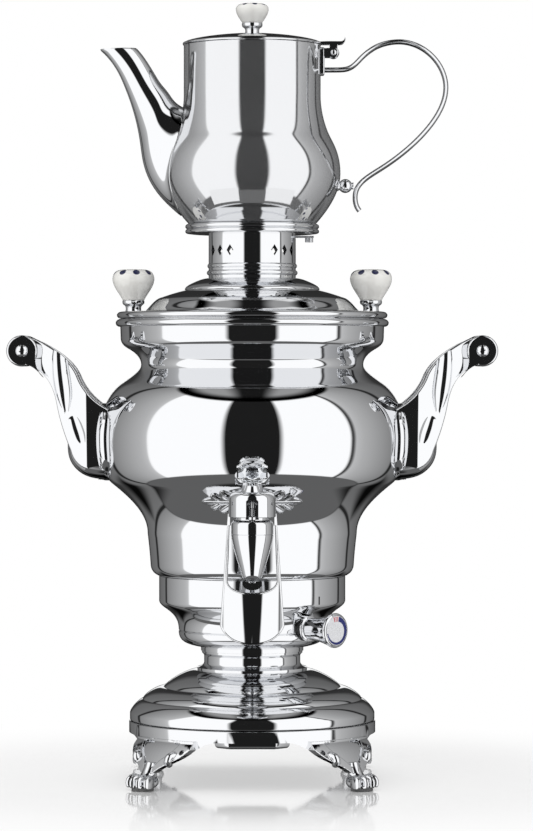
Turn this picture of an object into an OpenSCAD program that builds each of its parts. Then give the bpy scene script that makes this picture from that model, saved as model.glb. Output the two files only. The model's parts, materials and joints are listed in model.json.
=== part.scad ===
// Electric table samovar with teapot: a polished steel urn on a footed base, a
// push-lever tap, a steam chimney with a damper, and a teapot that stands on top.
// The origin is on the urn's axis at the floor, +Z up, the tap faces -Y.

/* [Sheet metal and fits] */
// Wall of the spun steel shells
sheet_t = 1.2; // [0.8:0.1:2]
// Gap between parts that lift off or swing past each other
loose_gap = 0.3; // [0.2:0.05:0.6]
// Radial clearance of pins, shafts and bolts in their holes
pin_gap = 0.05; // [0.02:0.01:0.1]

/* [Feet] */
// Thickness of the rubber pads
pad_t = 2; // [1.5:0.5:3]
// Radius of the rubber pads
pad_r = 7; // [5:0.5:8]
// Distance of the paws from the axis
paw_r = 98; // [94:1:104]
// Height of the paws
paw_h = 10; // [8:0.5:12]
// Half width of the paws
paw_half_w = 10; // [8:0.5:12]
// Half width of the ankle
ankle_half_w = 5.5; // [4:0.5:7]
// Half width of the knee panel between its scrolls
knee_half_w = 20; // [16:1:24]
// Radius of the scrolls beside the knee
scroll_r = 4.2; // [3:0.2:5]

/* [Base] */
// Height of the skirt's lowest edge above the floor
skirt_lift = 24.5; // [20:0.5:30]
// Height of the base skirt
skirt_h = 13.5; // [10:0.5:18]
// Outside radius of the base skirt
skirt_r = 79.3; // [72:0.1:86]
// Height of the arches cut into the skirt's lower edge
arch_h = 6; // [3:0.5:8]
// Height of the rolled dome above the skirt
dome_h = 32.5; // [26:0.5:40]
// Radius of the dome's upper edge under the neck
dome_top_r = 36.5; // [34.5:0.5:40]
// Width of the box under the base
box_w = 50; // [40:1:60]
// Height of the box under the base
box_h = 8.5; // [6:0.5:11]

/* [Neck and heater housing] */
// Radius of the pedestal neck
neck_r = 31; // [26:0.5:33]
// Height of the pedestal neck
neck_h = 12; // [8:0.5:18]
// Height of the heater housing
housing_h = 48.5; // [42:0.5:56]
// Radius of the housing's lower bowl
bowl_r = 47.4; // [44:0.1:52]
// Radius of the housing's upper band
housing_r = 60; // [56:0.5:63]
// Radius of the central tie bolt
tie_r = 4; // [3:0.5:5]

/* [Tank] */
// Height of the tank up to the underside of its rolled rim
tank_h = 160; // [150:1:175]
// Radius of the tank's lower band
waist_r = 65.5; // [64:0.5:70]
// Radius of the tank's bulge
bulge_r = 99; // [92:0.5:106]
// Radius of the hollow neck above the bulge
cove_r = 71.6; // [66:0.1:76]
// Radius of the collar under the rim
collar_r = 84.8; // [80:0.1:90]
// Height of the rolled rim
rim_h = 5; // [4:0.5:7]
// How far the rolled rim stands proud of the collar
rim_proud = 3.2; // [2:0.1:4]

/* [Heating element] */
// Radius of the element's ring
element_r = 36; // [28:1:42]
// Radius of the element's sheath
sheath_r = 3.5; // [3:0.5:4.5]
// Height of the element's ring above the tank floor
element_lift = 14; // [11:0.5:20]

/* [Tap] */
// How far the nozzle's axis stands out from the tank's bulge
tap_out = 11; // [10:0.5:17]
// Height of the nozzle's tip above the floor
nozzle_tip_z = 135.5; // [130:0.5:140]
// Height of the nozzle's cone
nozzle_cone_h = 26.8; // [22:0.2:28]
// Radius of the nozzle's cylinder
nozzle_r = 13.1; // [11:0.1:13.5]
// Radius of the nozzle's tip
nozzle_tip_r = 5.9; // [5.5:0.1:7]
// Radius of the outlet bore
outlet_r = 4.2; // [3.5:0.1:4.8]
// Radius of the shank that passes through the tank wall
shank_r = 7.5; // [6.5:0.1:8]
// Radius of the lever's cap
cap_r = 14.6; // [14:0.1:16]
// Height of the lever's cap
cap_h = 15.6; // [14:0.2:18]
// Distance from the stem to the lever's pin
pin_reach = 7.5; // [6.5:0.1:8]
// Radius of the lever's pin
lever_pin_r = 1.5; // [1.2:0.1:1.6]
// Width of the lever's tongue at its lower end
tongue_w = 40; // [36:1:46]
// Length of the lever's tongue below the cap
tongue_h = 79.5; // [72:0.5:84]
// Thickness of the lever's tongue
tongue_t = 2; // [1.6:0.1:2.6]
// Width of the crystal grip
crystal_w = 18.9; // [15:0.1:22]
// Height of the crystal grip
crystal_h = 12; // [9:0.5:15]
// Length of each leaf beside the tap
leaf_l = 32; // [26:1:36]

/* [Thermostat] */
// Height of the knob's axis above the housing's foot
dial_lift = 16.5; // [15:0.5:19]
// Length of the knob
dial_l = 23; // [18:0.5:28]
// Radius of the knob's face
dial_r = 11; // [9:0.5:12]
// Radius of the knob's root
dial_root_r = 7; // [6:0.5:8]
// Radius of the thermostat's shaft
shaft_r = 3; // [2.5:0.1:3.5]

/* [Mains inlet] */
// Width of the inlet's socket
socket_w = 24.4; // [24:0.1:26]
// Height of the inlet's socket
socket_h = 16.6; // [16:0.1:18]
// Depth of the inlet's socket
socket_d = 17; // [16:0.5:18]
// Wall around the inlet's socket
socket_wall = 2.4; // [2:0.1:3]

/* [Side handles] */
// Height of the grip rods above the tank's foot
grip_lift = 144.4; // [138:0.2:150]
// Distance of the grip rods from the urn's axis
grip_reach = 147.2; // [142:0.2:152]
// Radius of the eyes at the ends of the arms
eye_r = 10; // [8:0.5:12]
// Radius of the grip rods
grip_r = 6.5; // [5:0.5:8]
// Outer half width of the pair of arms
arm_half_w = 23; // [20:0.5:26]
// Thickness of each arm
arm_t = 8; // [6:0.5:9]
// Thickness of the pad on the bulge
handle_pad_t = 4; // [3:0.5:6]
// Half width of the pad on the bulge
handle_pad_half_w = 27; // [25:0.5:30]

/* [Lid and chimney] */
// Radius of the lid's rolled edge
lid_r = 87.2; // [83:0.1:92]
// Height of the lid's rolled edge
lid_roll_h = 4.4; // [3:0.1:6]
// Radius where the lid's dome begins
lid_dome_r = 69.5; // [66:0.5:72]
// Height of the lid's dome above its rim
lid_dome_h = 13.8; // [10:0.2:18]
// Radius of the raised cap in the middle of the lid
lid_cap_r = 44.5; // [40:0.5:48]
// Height of the raised cap in the middle of the lid
lid_cap_h = 8; // [6:0.2:10]
// Radius of the chimney
chimney_r = 28.1; // [26:0.1:30]
// Height of the chimney above the lid
chimney_h = 28.2; // [24:0.2:34]
// Width of a diamond vent
vent_w = 5; // [3:0.5:6]
// Height of a diamond vent
vent_h = 7.2; // [5:0.2:9]
// Radius of the holder's dish
dish_r = 43.2; // [40:0.1:46]
// Height of the holder's rim
dish_h = 6.5; // [5:0.1:7]
// Distance of the lid's knobs from the axis
knob_reach = 76.6; // [75:0.2:80]

/* [Teapot] */
// Radius of the teapot's belly
belly_r = 57; // [53:0.5:61]
// Radius of the teapot's mouth
mouth_r = 44.2; // [40:0.2:46]
// Radius of the teapot's flat bottom
pot_foot_r = 36; // [33:0.5:38]
// Height of the teapot's body
pot_h = 120; // [108:1:130]
// Width of the handle's strap
strap_w = 9; // [7:0.5:12]
// Thickness of the handle's strap
strap_t = 3.6; // [3:0.2:5]
// Height of the lid's cone
pot_lid_h = 5.6; // [4:0.2:8]
// Radius of the lid's hinge knuckle
knuckle_r = 3.7; // [3:0.1:4.2]
// Radius of the hinge pin
hinge_pin_r = 1.2; // [1:0.1:1.5]

/* [Hidden] */
$fn = 96;
far = 400;
arc_steps = 6;

// The stack of heights, from the floor up.
seam_z = skirt_lift + skirt_h;
neck_z = seam_z + dome_h;
housing_z = neck_z + neck_h;
tank_z = housing_z + housing_h;
rim_z = tank_z + tank_h;
lid_z = rim_z + rim_h + loose_gap;
lid_top_z = lid_z + lid_roll_h;
lid_cap_z = lid_top_z + lid_dome_h;
chimney_z = lid_cap_z + lid_cap_h;
dish_z = chimney_z + chimney_h;
pot_z = dish_z + sheet_t + loose_gap;
mouth_z = pot_z + pot_h;
pot_lid_z = mouth_z + loose_gap;

// ---------------------------------------------------------------- curves

// A cubic curve from a to d, without its first point when skip is 1.
function curve(a, b, c, d, skip = 0, n = arc_steps) =
    [for (i = [skip:n]) let (t = i / n, u = 1 - t)
        u * u * u * a + 3 * u * u * t * b + 3 * u * t * t * c + t * t * t * d];

// An S curve between two upright ends. The turn lies at the fractions q of the
// span, the slope there is m times the mean slope, and k sets the four handles.
function ogee(a, d, q, m, k, skip = 1) =
    let (
        span = d - a,
        turn = [a.x + q[0] * span.x, a.y + q[1] * span.y],
        lean = [m * span.x, span.y])
    concat(
        curve(a, a + [0, k[0] * span.y], turn - k[1] * lean, turn, skip),
        curve(turn, turn + k[2] * lean, d - [0, k[3] * span.y], d, 1));

// A rounded roll between two points that stands sag proud of the straight line.
function roll(a, b, sag, skip = 1) =
    let (side = [b.y - a.y, a.x - b.x] / norm(b - a) * sag * 4 / 3)
    curve(a, a + (b - a) * 0.2 + side, b - (b - a) * 0.2 + side, b, skip);

// Points moved inwards by t, square to a profile that is listed from the bottom up.
function inset(p, t) =
    [for (i = [0:len(p) - 1])
        let (
            a = p[max(i - 1, 0)],
            b = p[min(i + 1, len(p) - 1)],
            along = (b - a) / norm(b - a))
        p[i] + t * [-along.y, along.x]];

function reversed(p) = [for (i = [len(p) - 1:-1:0]) p[i]];

// A whole outline from its half on the right of the middle line.
function both_halves(p) = concat(p, [for (q = reversed(p)) if (q.x != 0) [-q.x, q.y]]);

// Radius of a profile at a height.
function radius_at(p, z) = lookup(z, [for (q = p) [q.y, q.x]]);

// A strip of width t centred on a path.
function strip(p, t) = concat(inset(p, -t / 2), reversed(inset(p, t / 2)));

module spun(p, t = sheet_t) rotate_extrude() polygon(concat(p, reversed(inset(p, t))));

module turned(p) rotate_extrude() polygon(p);

module ring(r, bore, h) {
    difference() {
        cylinder(h = h, r = r);
        translate([0, 0, -1]) cylinder(h = h + 2, r = bore);
    }
}

module hexagon(across, bore, h) {
    difference() {
        cylinder(h = h, d = across / cos(30), $fn = 6);
        translate([0, 0, -1]) cylinder(h = h + 2, r = bore);
    }
}

// Turns a part that is made along +Z so that it points forwards, towards -Y.
module forwards() rotate([90, 0, 0]) children();

module on_both_sides() {
    children();
    mirror([1, 0, 0]) children();
}

// ---------------------------------------------------------------- profiles

dome_profile = concat(
    [[skirt_r - 0.9, seam_z]],
    [[skirt_r - 0.9, seam_z + 0.15 * dome_h]],
    roll([skirt_r - 0.9, seam_z + 0.15 * dome_h], [skirt_r - 8.7, seam_z + 0.418 * dome_h], 1.1),
    roll([skirt_r - 8.7, seam_z + 0.418 * dome_h],
        [dome_top_r + 0.48 * (skirt_r - dome_top_r), seam_z + 0.655 * dome_h], 1.8),
    roll([dome_top_r + 0.48 * (skirt_r - dome_top_r), seam_z + 0.655 * dome_h],
        [dome_top_r, neck_z], 1.8));

neck_profile = concat(
    [[neck_r + 4.4, neck_z]],
    curve([neck_r + 4.4, neck_z + 1.4], [neck_r + 1.6, neck_z + 2], [neck_r, neck_z + 3],
        [neck_r, neck_z + 0.4 * neck_h]),
    curve([neck_r, neck_z + 0.7 * neck_h], [neck_r, neck_z + 0.8 * neck_h],
        [neck_r + 0.5, housing_z - 2.2], [neck_r + 1.4, housing_z - 1.3]),
    [[neck_r + 1.4, housing_z]]);

bowl_z = housing_z + 0.26 * housing_h;
band_z = housing_z + 0.67 * housing_h;
housing_profile = concat(
    [[neck_r + 2, housing_z + 2.6]],
    curve([neck_r + 2, housing_z + 2.6], [neck_r + 10, housing_z + 4.2],
        [bowl_r, bowl_z - 7.5], [bowl_r, bowl_z], 1, 8),
    ogee([bowl_r, bowl_z + 1.2], [housing_r, band_z], [0.48, 0.63], 1.8, [0.3, 0.15, 0.12, 0.15], 0),
    [[housing_r, tank_z]]);

flare_z = tank_z + 0.169 * tank_h;
bulge_z = tank_z + 0.556 * tank_h;
cove_z = tank_z + 0.8475 * tank_h;
collar_z = tank_z + 0.956 * tank_h;
tank_profile = concat(
    curve([housing_r + 0.3, tank_z], [housing_r + 3.2, tank_z + 1], [waist_r - 0.2, tank_z + 3.5],
        [waist_r, tank_z + 7]),
    curve([waist_r, tank_z + 7], [waist_r + 0.4, tank_z + 14], [waist_r + 1.2, flare_z - 6],
        [waist_r + 1.9, flare_z], 1),
    ogee([waist_r + 1.9, flare_z], [bulge_r, bulge_z], [0.715, 0.516], 2.47,
        [0.177, 0.185, 0.081, 0.242]),
    ogee([bulge_r, bulge_z], [cove_r, cove_z], [0.547, 0.742], 2.4, [0.322, 0.129, 0.107, 0.077]),
    ogee([cove_r, cove_z], [collar_r, collar_z], [0.598, 0.58], 2.37, [0.253, 0.132, 0.109, 0.2]),
    [[collar_r + 0.3, rim_z + rim_h / 2]]);

lid_profile = concat(
    [[lid_dome_r + 1, lid_top_z], [lid_dome_r, lid_top_z]],
    curve([lid_dome_r, lid_top_z], [lid_dome_r - 3, lid_top_z + 0.11 * lid_dome_h],
        [lid_dome_r - 5, lid_top_z + 0.46 * lid_dome_h], [lid_dome_r - 9, lid_top_z + 0.63 * lid_dome_h], 1),
    curve([lid_dome_r - 9, lid_top_z + 0.63 * lid_dome_h],
        [lid_dome_r - 12.5, lid_top_z + 0.735 * lid_dome_h],
        [lid_cap_r + 6, lid_cap_z - 1.4], [lid_cap_r, lid_cap_z], 1),
    [[lid_cap_r - 1, lid_cap_z + 0.07 * lid_cap_h]],
    curve([lid_cap_r - 1, lid_cap_z + 0.07 * lid_cap_h], [lid_cap_r - 1, lid_cap_z + 0.3 * lid_cap_h],
        [lid_cap_r - 4, lid_cap_z + 0.5 * lid_cap_h], [lid_cap_r - 8, lid_cap_z + 0.72 * lid_cap_h], 1),
    curve([lid_cap_r - 8, lid_cap_z + 0.72 * lid_cap_h], [lid_cap_r - 11, lid_cap_z + 0.88 * lid_cap_h],
        [chimney_r + 3, chimney_z - 0.1], [chimney_r, chimney_z], 1));

belly_z = pot_z + 0.311 * pot_h;
shoulder_z = pot_z + 0.732 * pot_h;
pot_profile = concat(
    curve([pot_foot_r, pot_z], [pot_foot_r + 4.5, pot_z + 4.1], [belly_r, belly_z - 16.5],
        [belly_r, belly_z], 0, 8),
    ogee([belly_r, belly_z], [mouth_r, shoulder_z], [0.5, 0.465], 2.1, [0.21, 0.13, 0.13, 0.2]),
    [[mouth_r, mouth_z]]);

// ---------------------------------------------------------------- feet and base

leg_angles = [-135, -45, 135, 45];
leg_tab_r = skirt_r - sheet_t;

// Side view of a leg, as distance from the urn's axis and height.
leg_side = concat(
    [[leg_tab_r - 7, seam_z - 5], [leg_tab_r, seam_z - 5], [leg_tab_r, skirt_lift - loose_gap]],
    curve([leg_tab_r + 2, skirt_lift - loose_gap], [paw_r - 13, skirt_lift - 0.6],
        [paw_r - 7.4, skirt_lift - 4], [paw_r - 8.4, paw_h + 5.6]),
    curve([paw_r - 8.4, paw_h + 5.6], [paw_r - 8.8, paw_h + 3], [paw_r - 6, paw_h + 1.6],
        [paw_r - 1, paw_h + 1.4], 1),
    curve([paw_r - 1, paw_h + 1.4], [paw_r + 5, paw_h + 1], [paw_r + 8.6, paw_h - 2.5],
        [paw_r + 8.6, pad_t], 1),
    [[paw_r - 11, pad_t]],
    curve([paw_r - 12, pad_t + 4], [paw_r - 12.5, paw_h], [paw_r - 13, paw_h + 4],
        [paw_r - 15.5, paw_h + 6.5]),
    curve([paw_r - 15.5, paw_h + 6.5], [paw_r - 19, paw_h + 9.5], [leg_tab_r - 4, skirt_lift - 4],
        [leg_tab_r - 7, skirt_lift - 1], 1));

// Half of a leg's front view, as distance from its middle and height.
leg_front_half = concat(
    [[0, pad_t - 1], [paw_half_w, pad_t - 1], [paw_half_w, paw_h - 2.5]],
    curve([paw_half_w, paw_h - 2.5], [paw_half_w, paw_h + 0.5], [ankle_half_w + 1, paw_h + 0.8],
        [ankle_half_w, paw_h + 2.5], 1),
    curve([ankle_half_w, paw_h + 2.5], [ankle_half_w + 1.5, paw_h + 5], [knee_half_w - 8, paw_h + 6],
        [knee_half_w, skirt_lift - 2 * scroll_r + 1], 1),
    [[knee_half_w, skirt_lift - loose_gap], [knee_half_w - 7, skirt_lift + 1.5],
        [knee_half_w - 7, far], [0, far]]);

// Places a part that is made along +Z on the axes of a leg's two scrolls.
module at_scrolls() {
    for (side = [-1, 1])
        translate([leg_tab_r - 6, side * knee_half_w, skirt_lift - scroll_r - loose_gap]) rotate([0, 90, 0]) children();
}

// One leg on the +X side: the knee panel follows the skirt and ends in a paw.
module leg() {
    difference() {
        union() {
            intersection() {
                rotate([0, 0, -30]) rotate_extrude(angle = 60) polygon(leg_side);
                rotate([90, 0, 90]) linear_extrude(far) polygon(both_halves(leg_front_half));
            }
            at_scrolls() cylinder(h = 16, r = scroll_r);
        }
        at_scrolls() translate([0, 0, 10]) cylinder(h = 20, r = scroll_r / 2);
        // Grooves between the toes.
        for (toe = [-1, 0, 1])
            translate([paw_r + 2, toe * paw_half_w / 2, paw_h + 2.6])
                rotate([0, 28, 0]) translate([-6, 0, 0]) rotate([0, 90, 0]) cylinder(h = 30, r = 1.3);
    }
}

module leg_at(i) color("silver") rotate([0, 0, leg_angles[i]]) leg();

module leg_front_left() leg_at(0);
module leg_front_right() leg_at(1);
module leg_rear_left() leg_at(2);
module leg_rear_right() leg_at(3);

module foot_pads() color("dimgray") {
    for (angle = leg_angles) rotate([0, 0, angle]) translate([paw_r - 1, 0, 0]) cylinder(h = pad_t, r = pad_r);
}

// Half of the flat arch between two legs, measured from its middle.
arch_half_w = skirt_r * 0.66;
arch_half = concat(
    [[0, skirt_lift - 1], [arch_half_w, skirt_lift - 1]],
    curve([arch_half_w, skirt_lift], [arch_half_w - 8, skirt_lift], [arch_half_w - 9, skirt_lift + arch_h],
        [arch_half_w - 20, skirt_lift + arch_h]),
    [[0, skirt_lift + arch_h]]);

module base_skirt() color("silver") difference() {
    translate([0, 0, skirt_lift]) ring(skirt_r, skirt_r - sheet_t, skirt_h);
    for (quarter = [0:3])
        rotate([0, 0, 90 * quarter]) forwards() linear_extrude(far) polygon(both_halves(arch_half));
}

module base_dome() color("silver") {
    spun(dome_profile);
    translate([0, 0, neck_z - sheet_t]) ring(dome_top_r + 0.5, tie_r + pin_gap, sheet_t);
    translate([0, 0, seam_z]) ring(skirt_r, skirt_r - 3, sheet_t);
}

cover_z = seam_z - 3 * sheet_t;
module base_cover() color("dimgray") difference() {
    translate([0, 0, cover_z]) ring(skirt_r - sheet_t, tie_r + pin_gap, sheet_t);
    for (angle = leg_angles)
        rotate([0, 0, angle]) translate([leg_tab_r - 8, -knee_half_w, cover_z - 1])
            cube([10, 2 * knee_half_w, sheet_t + 2]);
}

module bottom_box() color("silver") difference() {
    translate([0, 0, cover_z - box_h]) intersection() {
        cylinder(h = box_h, d = box_w * 1.06 / cos(22.5), $fn = 8);
        rotate([0, 0, 22.5]) cylinder(h = box_h, d = box_w / cos(22.5), $fn = 8);
        rotate([90, 0, 0]) translate([0, 0, -far / 2]) linear_extrude(far)
            polygon(concat(
                roll([-box_w / 2, box_h * 0.4], [-box_w / 2 + 4, 0], -0.8, 0),
                reversed([for (p = roll([-box_w / 2, box_h * 0.4], [-box_w / 2 + 4, 0], -0.8, 0)) [-p.x, p.y]]),
                [[box_w / 2, box_h], [-box_w / 2, box_h]]));
    }
    translate([0, 0, cover_z - box_h + sheet_t]) cylinder(h = box_h, r = box_w / 2 - 4);
}

// ---------------------------------------------------------------- neck, housing and electrics

tie_nut_h = 6;
housing_floor_z = housing_z + 0.6;
module tie_bolt() color("gray")
    translate([0, 0, cover_z - tie_nut_h]) cylinder(h = housing_floor_z + 2 * sheet_t + 2 * tie_nut_h - cover_z, r = tie_r);

module tie_nuts() color("gray") {
    translate([0, 0, cover_z - tie_nut_h]) hexagon(3.25 * tie_r, tie_r, tie_nut_h);
    translate([0, 0, housing_floor_z + sheet_t]) hexagon(3.25 * tie_r, tie_r, tie_nut_h);
}

module pedestal_neck() color("silver") spun(neck_profile);

dial_z = housing_z + dial_lift;
dial_angle = -45;
dial_seat = radius_at(housing_profile, dial_z);
inlet_z = tank_z - 16;
inlet_face = housing_r + 4;

// Places a part that is made along +Z on the knob's axis, at a distance from the urn's axis.
module on_dial_axis(distance) {
    rotate([0, 0, dial_angle]) translate([distance, 0, dial_z]) rotate([0, 90, 0]) children();
}

module housing_solid() turned(concat([[0, housing_z + 2.6]], housing_profile, [[0, tank_z]]));

module inlet_outline(grow = 0) {
    w = socket_w / 2 + socket_wall + grow;
    h = socket_h / 2 + socket_wall + grow;
    polygon([[-w, -h], [w, -h], [w, h - 5], [w - 5, h], [5 - w, h], [-w, h - 5]]);
}

module heater_housing() color("silver") difference() {
    union() {
        spun(housing_profile);
        translate([0, 0, housing_floor_z]) ring(neck_r + 2, tie_r + pin_gap, sheet_t);
        translate([0, 0, housing_z]) ring(neck_r + 2, neck_r - sheet_t, 2.7);
    }
    on_dial_axis(0) cylinder(h = far, r = shaft_r + 0.6);
    translate([0, far, inlet_z]) rotate([90, 0, 0]) linear_extrude(far) inlet_outline(pin_gap);
}

module mains_inlet() color("#1c1c1e") translate([0, inlet_face, inlet_z]) rotate([90, 0, 0]) difference() {
    union() {
        linear_extrude(socket_d + 4) inlet_outline();
        linear_extrude(3) inlet_outline(2);
    }
    translate([0, 0, -1]) linear_extrude(socket_d + 1) inlet_outline(-socket_wall);
    for (x = [-7, 0, 7])
        translate([x - 1, abs(x) < 1 ? 0 : -4, 0]) cube([2, 4, far]);
}

module inlet_pins() color("gainsboro") translate([0, inlet_face, inlet_z]) rotate([90, 0, 0])
    for (x = [-7, 0, 7])
        translate([x - 1, abs(x) < 1 ? 0 : -4, 5.5]) cube([2, 4, socket_d + 4]);

terminal_y = inlet_face - socket_d - 5.5 - 4;
module terminal_block() color("ivory") difference() {
    translate([-12, terminal_y - 12, inlet_z - 6]) cube([24, 12, 12]);
    for (x = [-7, 0, 7]) {
        translate([x - 1, terminal_y - 8, inlet_z + (abs(x) < 1 ? -4 : 0)]) cube([2, 20, 4]);
        translate([x, terminal_y - 4, inlet_z + 4]) cylinder(h = 10, r = 1.5);
    }
}

thermostat_l = 16;
thermostat_reach = dial_seat - sheet_t - 8;
module thermostat() color("lightgray") {
    on_dial_axis(thermostat_reach - thermostat_l) cylinder(h = thermostat_l, r = 11);
    on_dial_axis(thermostat_reach) ring(5, shaft_r + pin_gap, 3);
    rotate([0, 0, dial_angle]) translate([thermostat_reach - thermostat_l, -3, dial_z - 13.5]) cube([8, 6, 4]);
}

collar_l = 4.5;
module thermostat_collar() color("#303034") difference() {
    on_dial_axis(dial_seat - 6) ring(dial_root_r + 1.4, shaft_r + pin_gap, 6 + collar_l);
    housing_solid();
}

knob_base = dial_seat + collar_l + loose_gap;
module thermostat_shaft() color("gray")
    on_dial_axis(thermostat_reach + loose_gap) cylinder(h = knob_base + dial_l * 0.6 - thermostat_reach - loose_gap, r = shaft_r);

module thermostat_knob() color("silver") difference() {
    on_dial_axis(knob_base) turned([[0, 0], [dial_root_r, 0], [dial_root_r + 0.5, 1],
        [dial_r - 0.8, dial_l - 4], [dial_r, dial_l - 2.6], [dial_r, dial_l - 0.6], [dial_r - 0.6, dial_l], [0, dial_l]]);
    on_dial_axis(knob_base + dial_l - 1) cylinder(h = 2, r = dial_r - 1.4);
    on_dial_axis(knob_base - 1) cylinder(h = 1 + dial_l * 0.6, r = shaft_r);
}

module dial_disc() color("white") on_dial_axis(knob_base + dial_l - 1) cylinder(h = 0.8, r = dial_r - 1.45);

tank_floor_z = tank_z + 1.5;
module thermal_cutout() color("#202022") translate([-18, 12, tank_floor_z - sheet_t - 7]) {
    cylinder(h = 7, r = 8);
    translate([-9, -3, 0]) cube([18, 6, 1.5]);
}

element_z = tank_floor_z + element_lift;
element_gap_angle = 24;
leg_angle = 8;

// Places a part at each of the element's legs, which go down through the tank floor.
module at_element_ends() {
    for (side = [-1, 1])
        rotate([0, 0, 90 + side * (element_gap_angle / 2 + leg_angle)]) translate([element_r, 0, 0]) children();
}

module heating_element() color("#8f9296") {
    translate([0, 0, element_z]) rotate([0, 0, 90 + element_gap_angle / 2])
        rotate_extrude(angle = 360 - element_gap_angle) translate([element_r, 0]) circle(r = sheath_r, $fn = 48);
    at_element_ends() {
        translate([0, 0, tank_floor_z - 10]) cylinder(h = element_z - tank_floor_z + 10, r = sheath_r - 0.2);
        translate([0, 0, tank_floor_z + 3]) cylinder(h = 2, r = sheath_r + 3);
    }
}

module element_gaskets() color("firebrick")
    at_element_ends() translate([0, 0, tank_floor_z]) ring(sheath_r + 3, sheath_r - 0.2, 3);

module element_nuts() color("goldenrod")
    at_element_ends() translate([0, 0, tank_floor_z - sheet_t - 4]) hexagon(2 * sheath_r + 5.4, sheath_r - 0.2, 4);

// ---------------------------------------------------------------- tank

tap_reach = bulge_r + tap_out;
tap_z = nozzle_tip_z + nozzle_cone_h + 13.7;
handle_stud_z = [bulge_z - 16, bulge_z + 12];
stud_r = 2.5;
stud_end = bulge_r + handle_pad_t - 4.5;

module tank_solid(grow = 0) {
    p = inset(tank_profile, -grow);
    turned(concat([[0, p[0].y]], p, [[0, p[len(p) - 1].y]]));
}

// The section of a sheet edge that is rolled outwards to radius r, depth wide.
module rolled_edge(r, h, depth) {
    translate([r - h / 2, h / 2]) circle(d = h, $fn = 48);
    translate([r - depth, 0]) square([depth - h / 2, h]);
}

module tank_shell() color("silver") difference() {
    union() {
        spun(tank_profile);
        translate([0, 0, tank_floor_z - sheet_t]) cylinder(h = sheet_t, r = housing_r + 1.5);
        translate([0, 0, rim_z]) rotate_extrude() rolled_edge(collar_r + rim_proud, rim_h, rim_proud + sheet_t);
    }
    at_element_ends() translate([0, 0, tank_floor_z - 10]) cylinder(h = 20, r = sheath_r + pin_gap);
    translate([0, 0, tap_z]) forwards() cylinder(h = far, r = shank_r + pin_gap);
    on_both_sides() for (z = handle_stud_z)
        translate([0, 0, z]) rotate([0, 90, 0]) cylinder(h = far, r = stud_r + pin_gap);
}

// ---------------------------------------------------------------- tap

stem_r = 1.6;
ball_r = 2.4;
chamber_r = 7.5;
neck_top_r = 10.5;
passage_r = shank_r - 3.9;
passage_z = tap_z - 2.5;
seat_z = nozzle_tip_z + nozzle_cone_h - 1.8;
chamber_top_z = tap_z - 2;
pivot_z = tap_z + 6;
nozzle_top_z = tap_z - 4.6;
cap_z = nozzle_top_z + 1.7;
cap_top_z = cap_z + cap_h;
barrel_top_z = cap_top_z - 2.7;
washer_r = shank_r + 3.5;
washer_y = radius_at(tank_profile, tap_z - washer_r) - sheet_t - 3;
tap_nut_h = 5;

// Places a part at the nozzle's axis.
module at_nozzle() translate([0, -tap_reach, 0]) children();

// Places a part that is made along +Z on the shank's axis, at a distance from the urn's axis.
module on_shank_axis(distance) translate([0, 0, tap_z]) forwards() translate([0, 0, distance]) children();

module on_lever_pin() {
    translate([0, -tap_reach - pin_reach, pivot_z]) rotate([0, 90, 0]) children();
}

nozzle_profile = concat(
    [[0, nozzle_tip_z], [nozzle_tip_r, nozzle_tip_z]],
    curve([nozzle_tip_r, nozzle_tip_z], [nozzle_tip_r + 2.6, nozzle_tip_z + 0.34 * nozzle_cone_h],
        [nozzle_r - 0.9, nozzle_tip_z + 0.7 * nozzle_cone_h], [nozzle_r, nozzle_tip_z + nozzle_cone_h], 1),
    curve([nozzle_r, nozzle_top_z - 2], [nozzle_r, nozzle_top_z - 0.9], [nozzle_r - 0.9, nozzle_top_z],
        [nozzle_r - 2, nozzle_top_z]),
    [[neck_top_r, nozzle_top_z], [neck_top_r, barrel_top_z - 1], [neck_top_r - 1, barrel_top_z],
        [0, barrel_top_z]]);

module tap_body() color("silver") difference() {
    union() {
        at_nozzle() turned(nozzle_profile);
        on_shank_axis(washer_y - tap_nut_h - 2) cylinder(h = tap_reach - washer_y + tap_nut_h + 2, r = shank_r);
    }
    at_nozzle() {
        translate([0, 0, nozzle_tip_z - 1]) cylinder(h = seat_z - nozzle_tip_z + 2, r = outlet_r);
        translate([0, 0, seat_z]) cylinder(h = chamber_top_z - seat_z, r = chamber_r);
        translate([0, 0, seat_z]) cylinder(h = far, r = stem_r + pin_gap);
        translate([-5, -5.2, pivot_z - 4.5]) cube([10, 10.4, far]);
    }
    translate([0, 0, passage_z]) forwards() cylinder(h = tap_reach - chamber_r + 2, r = passage_r);
    on_lever_pin() translate([0, 0, -far / 2]) cylinder(h = far, r = lever_pin_r);
}

module lever_pin() color("gray")
    on_lever_pin() translate([0, 0, 1 - cap_r + 1]) cylinder(h = 2 * cap_r - 4, r = lever_pin_r);

module tap_washer() color("firebrick") intersection() {
    on_shank_axis(washer_y) ring(washer_r, shank_r, 30);
    tank_solid(-sheet_t);
}

module tap_nut() color("goldenrod") on_shank_axis(washer_y - tap_nut_h) hexagon(2 * shank_r + 5, shank_r, tap_nut_h);

// Upper half of one cast leaf, from the tap outwards.
leaf_half = concat(
    curve([0, 7], [0.15 * leaf_l, 7.4], [0.28 * leaf_l, 2.6], [0.42 * leaf_l, 2.6]),
    curve([0.42 * leaf_l, 2.6], [0.46 * leaf_l, 4], [0.42 * leaf_l, 6.4], [0.56 * leaf_l, 6.4], 1),
    curve([0.56 * leaf_l, 6.4], [0.68 * leaf_l, 6], [0.64 * leaf_l, 3.4], [0.76 * leaf_l, 3.2], 1),
    curve([0.76 * leaf_l, 3.2], [0.86 * leaf_l, 3], [0.94 * leaf_l, 1.6], [leaf_l, 0], 1));

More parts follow.
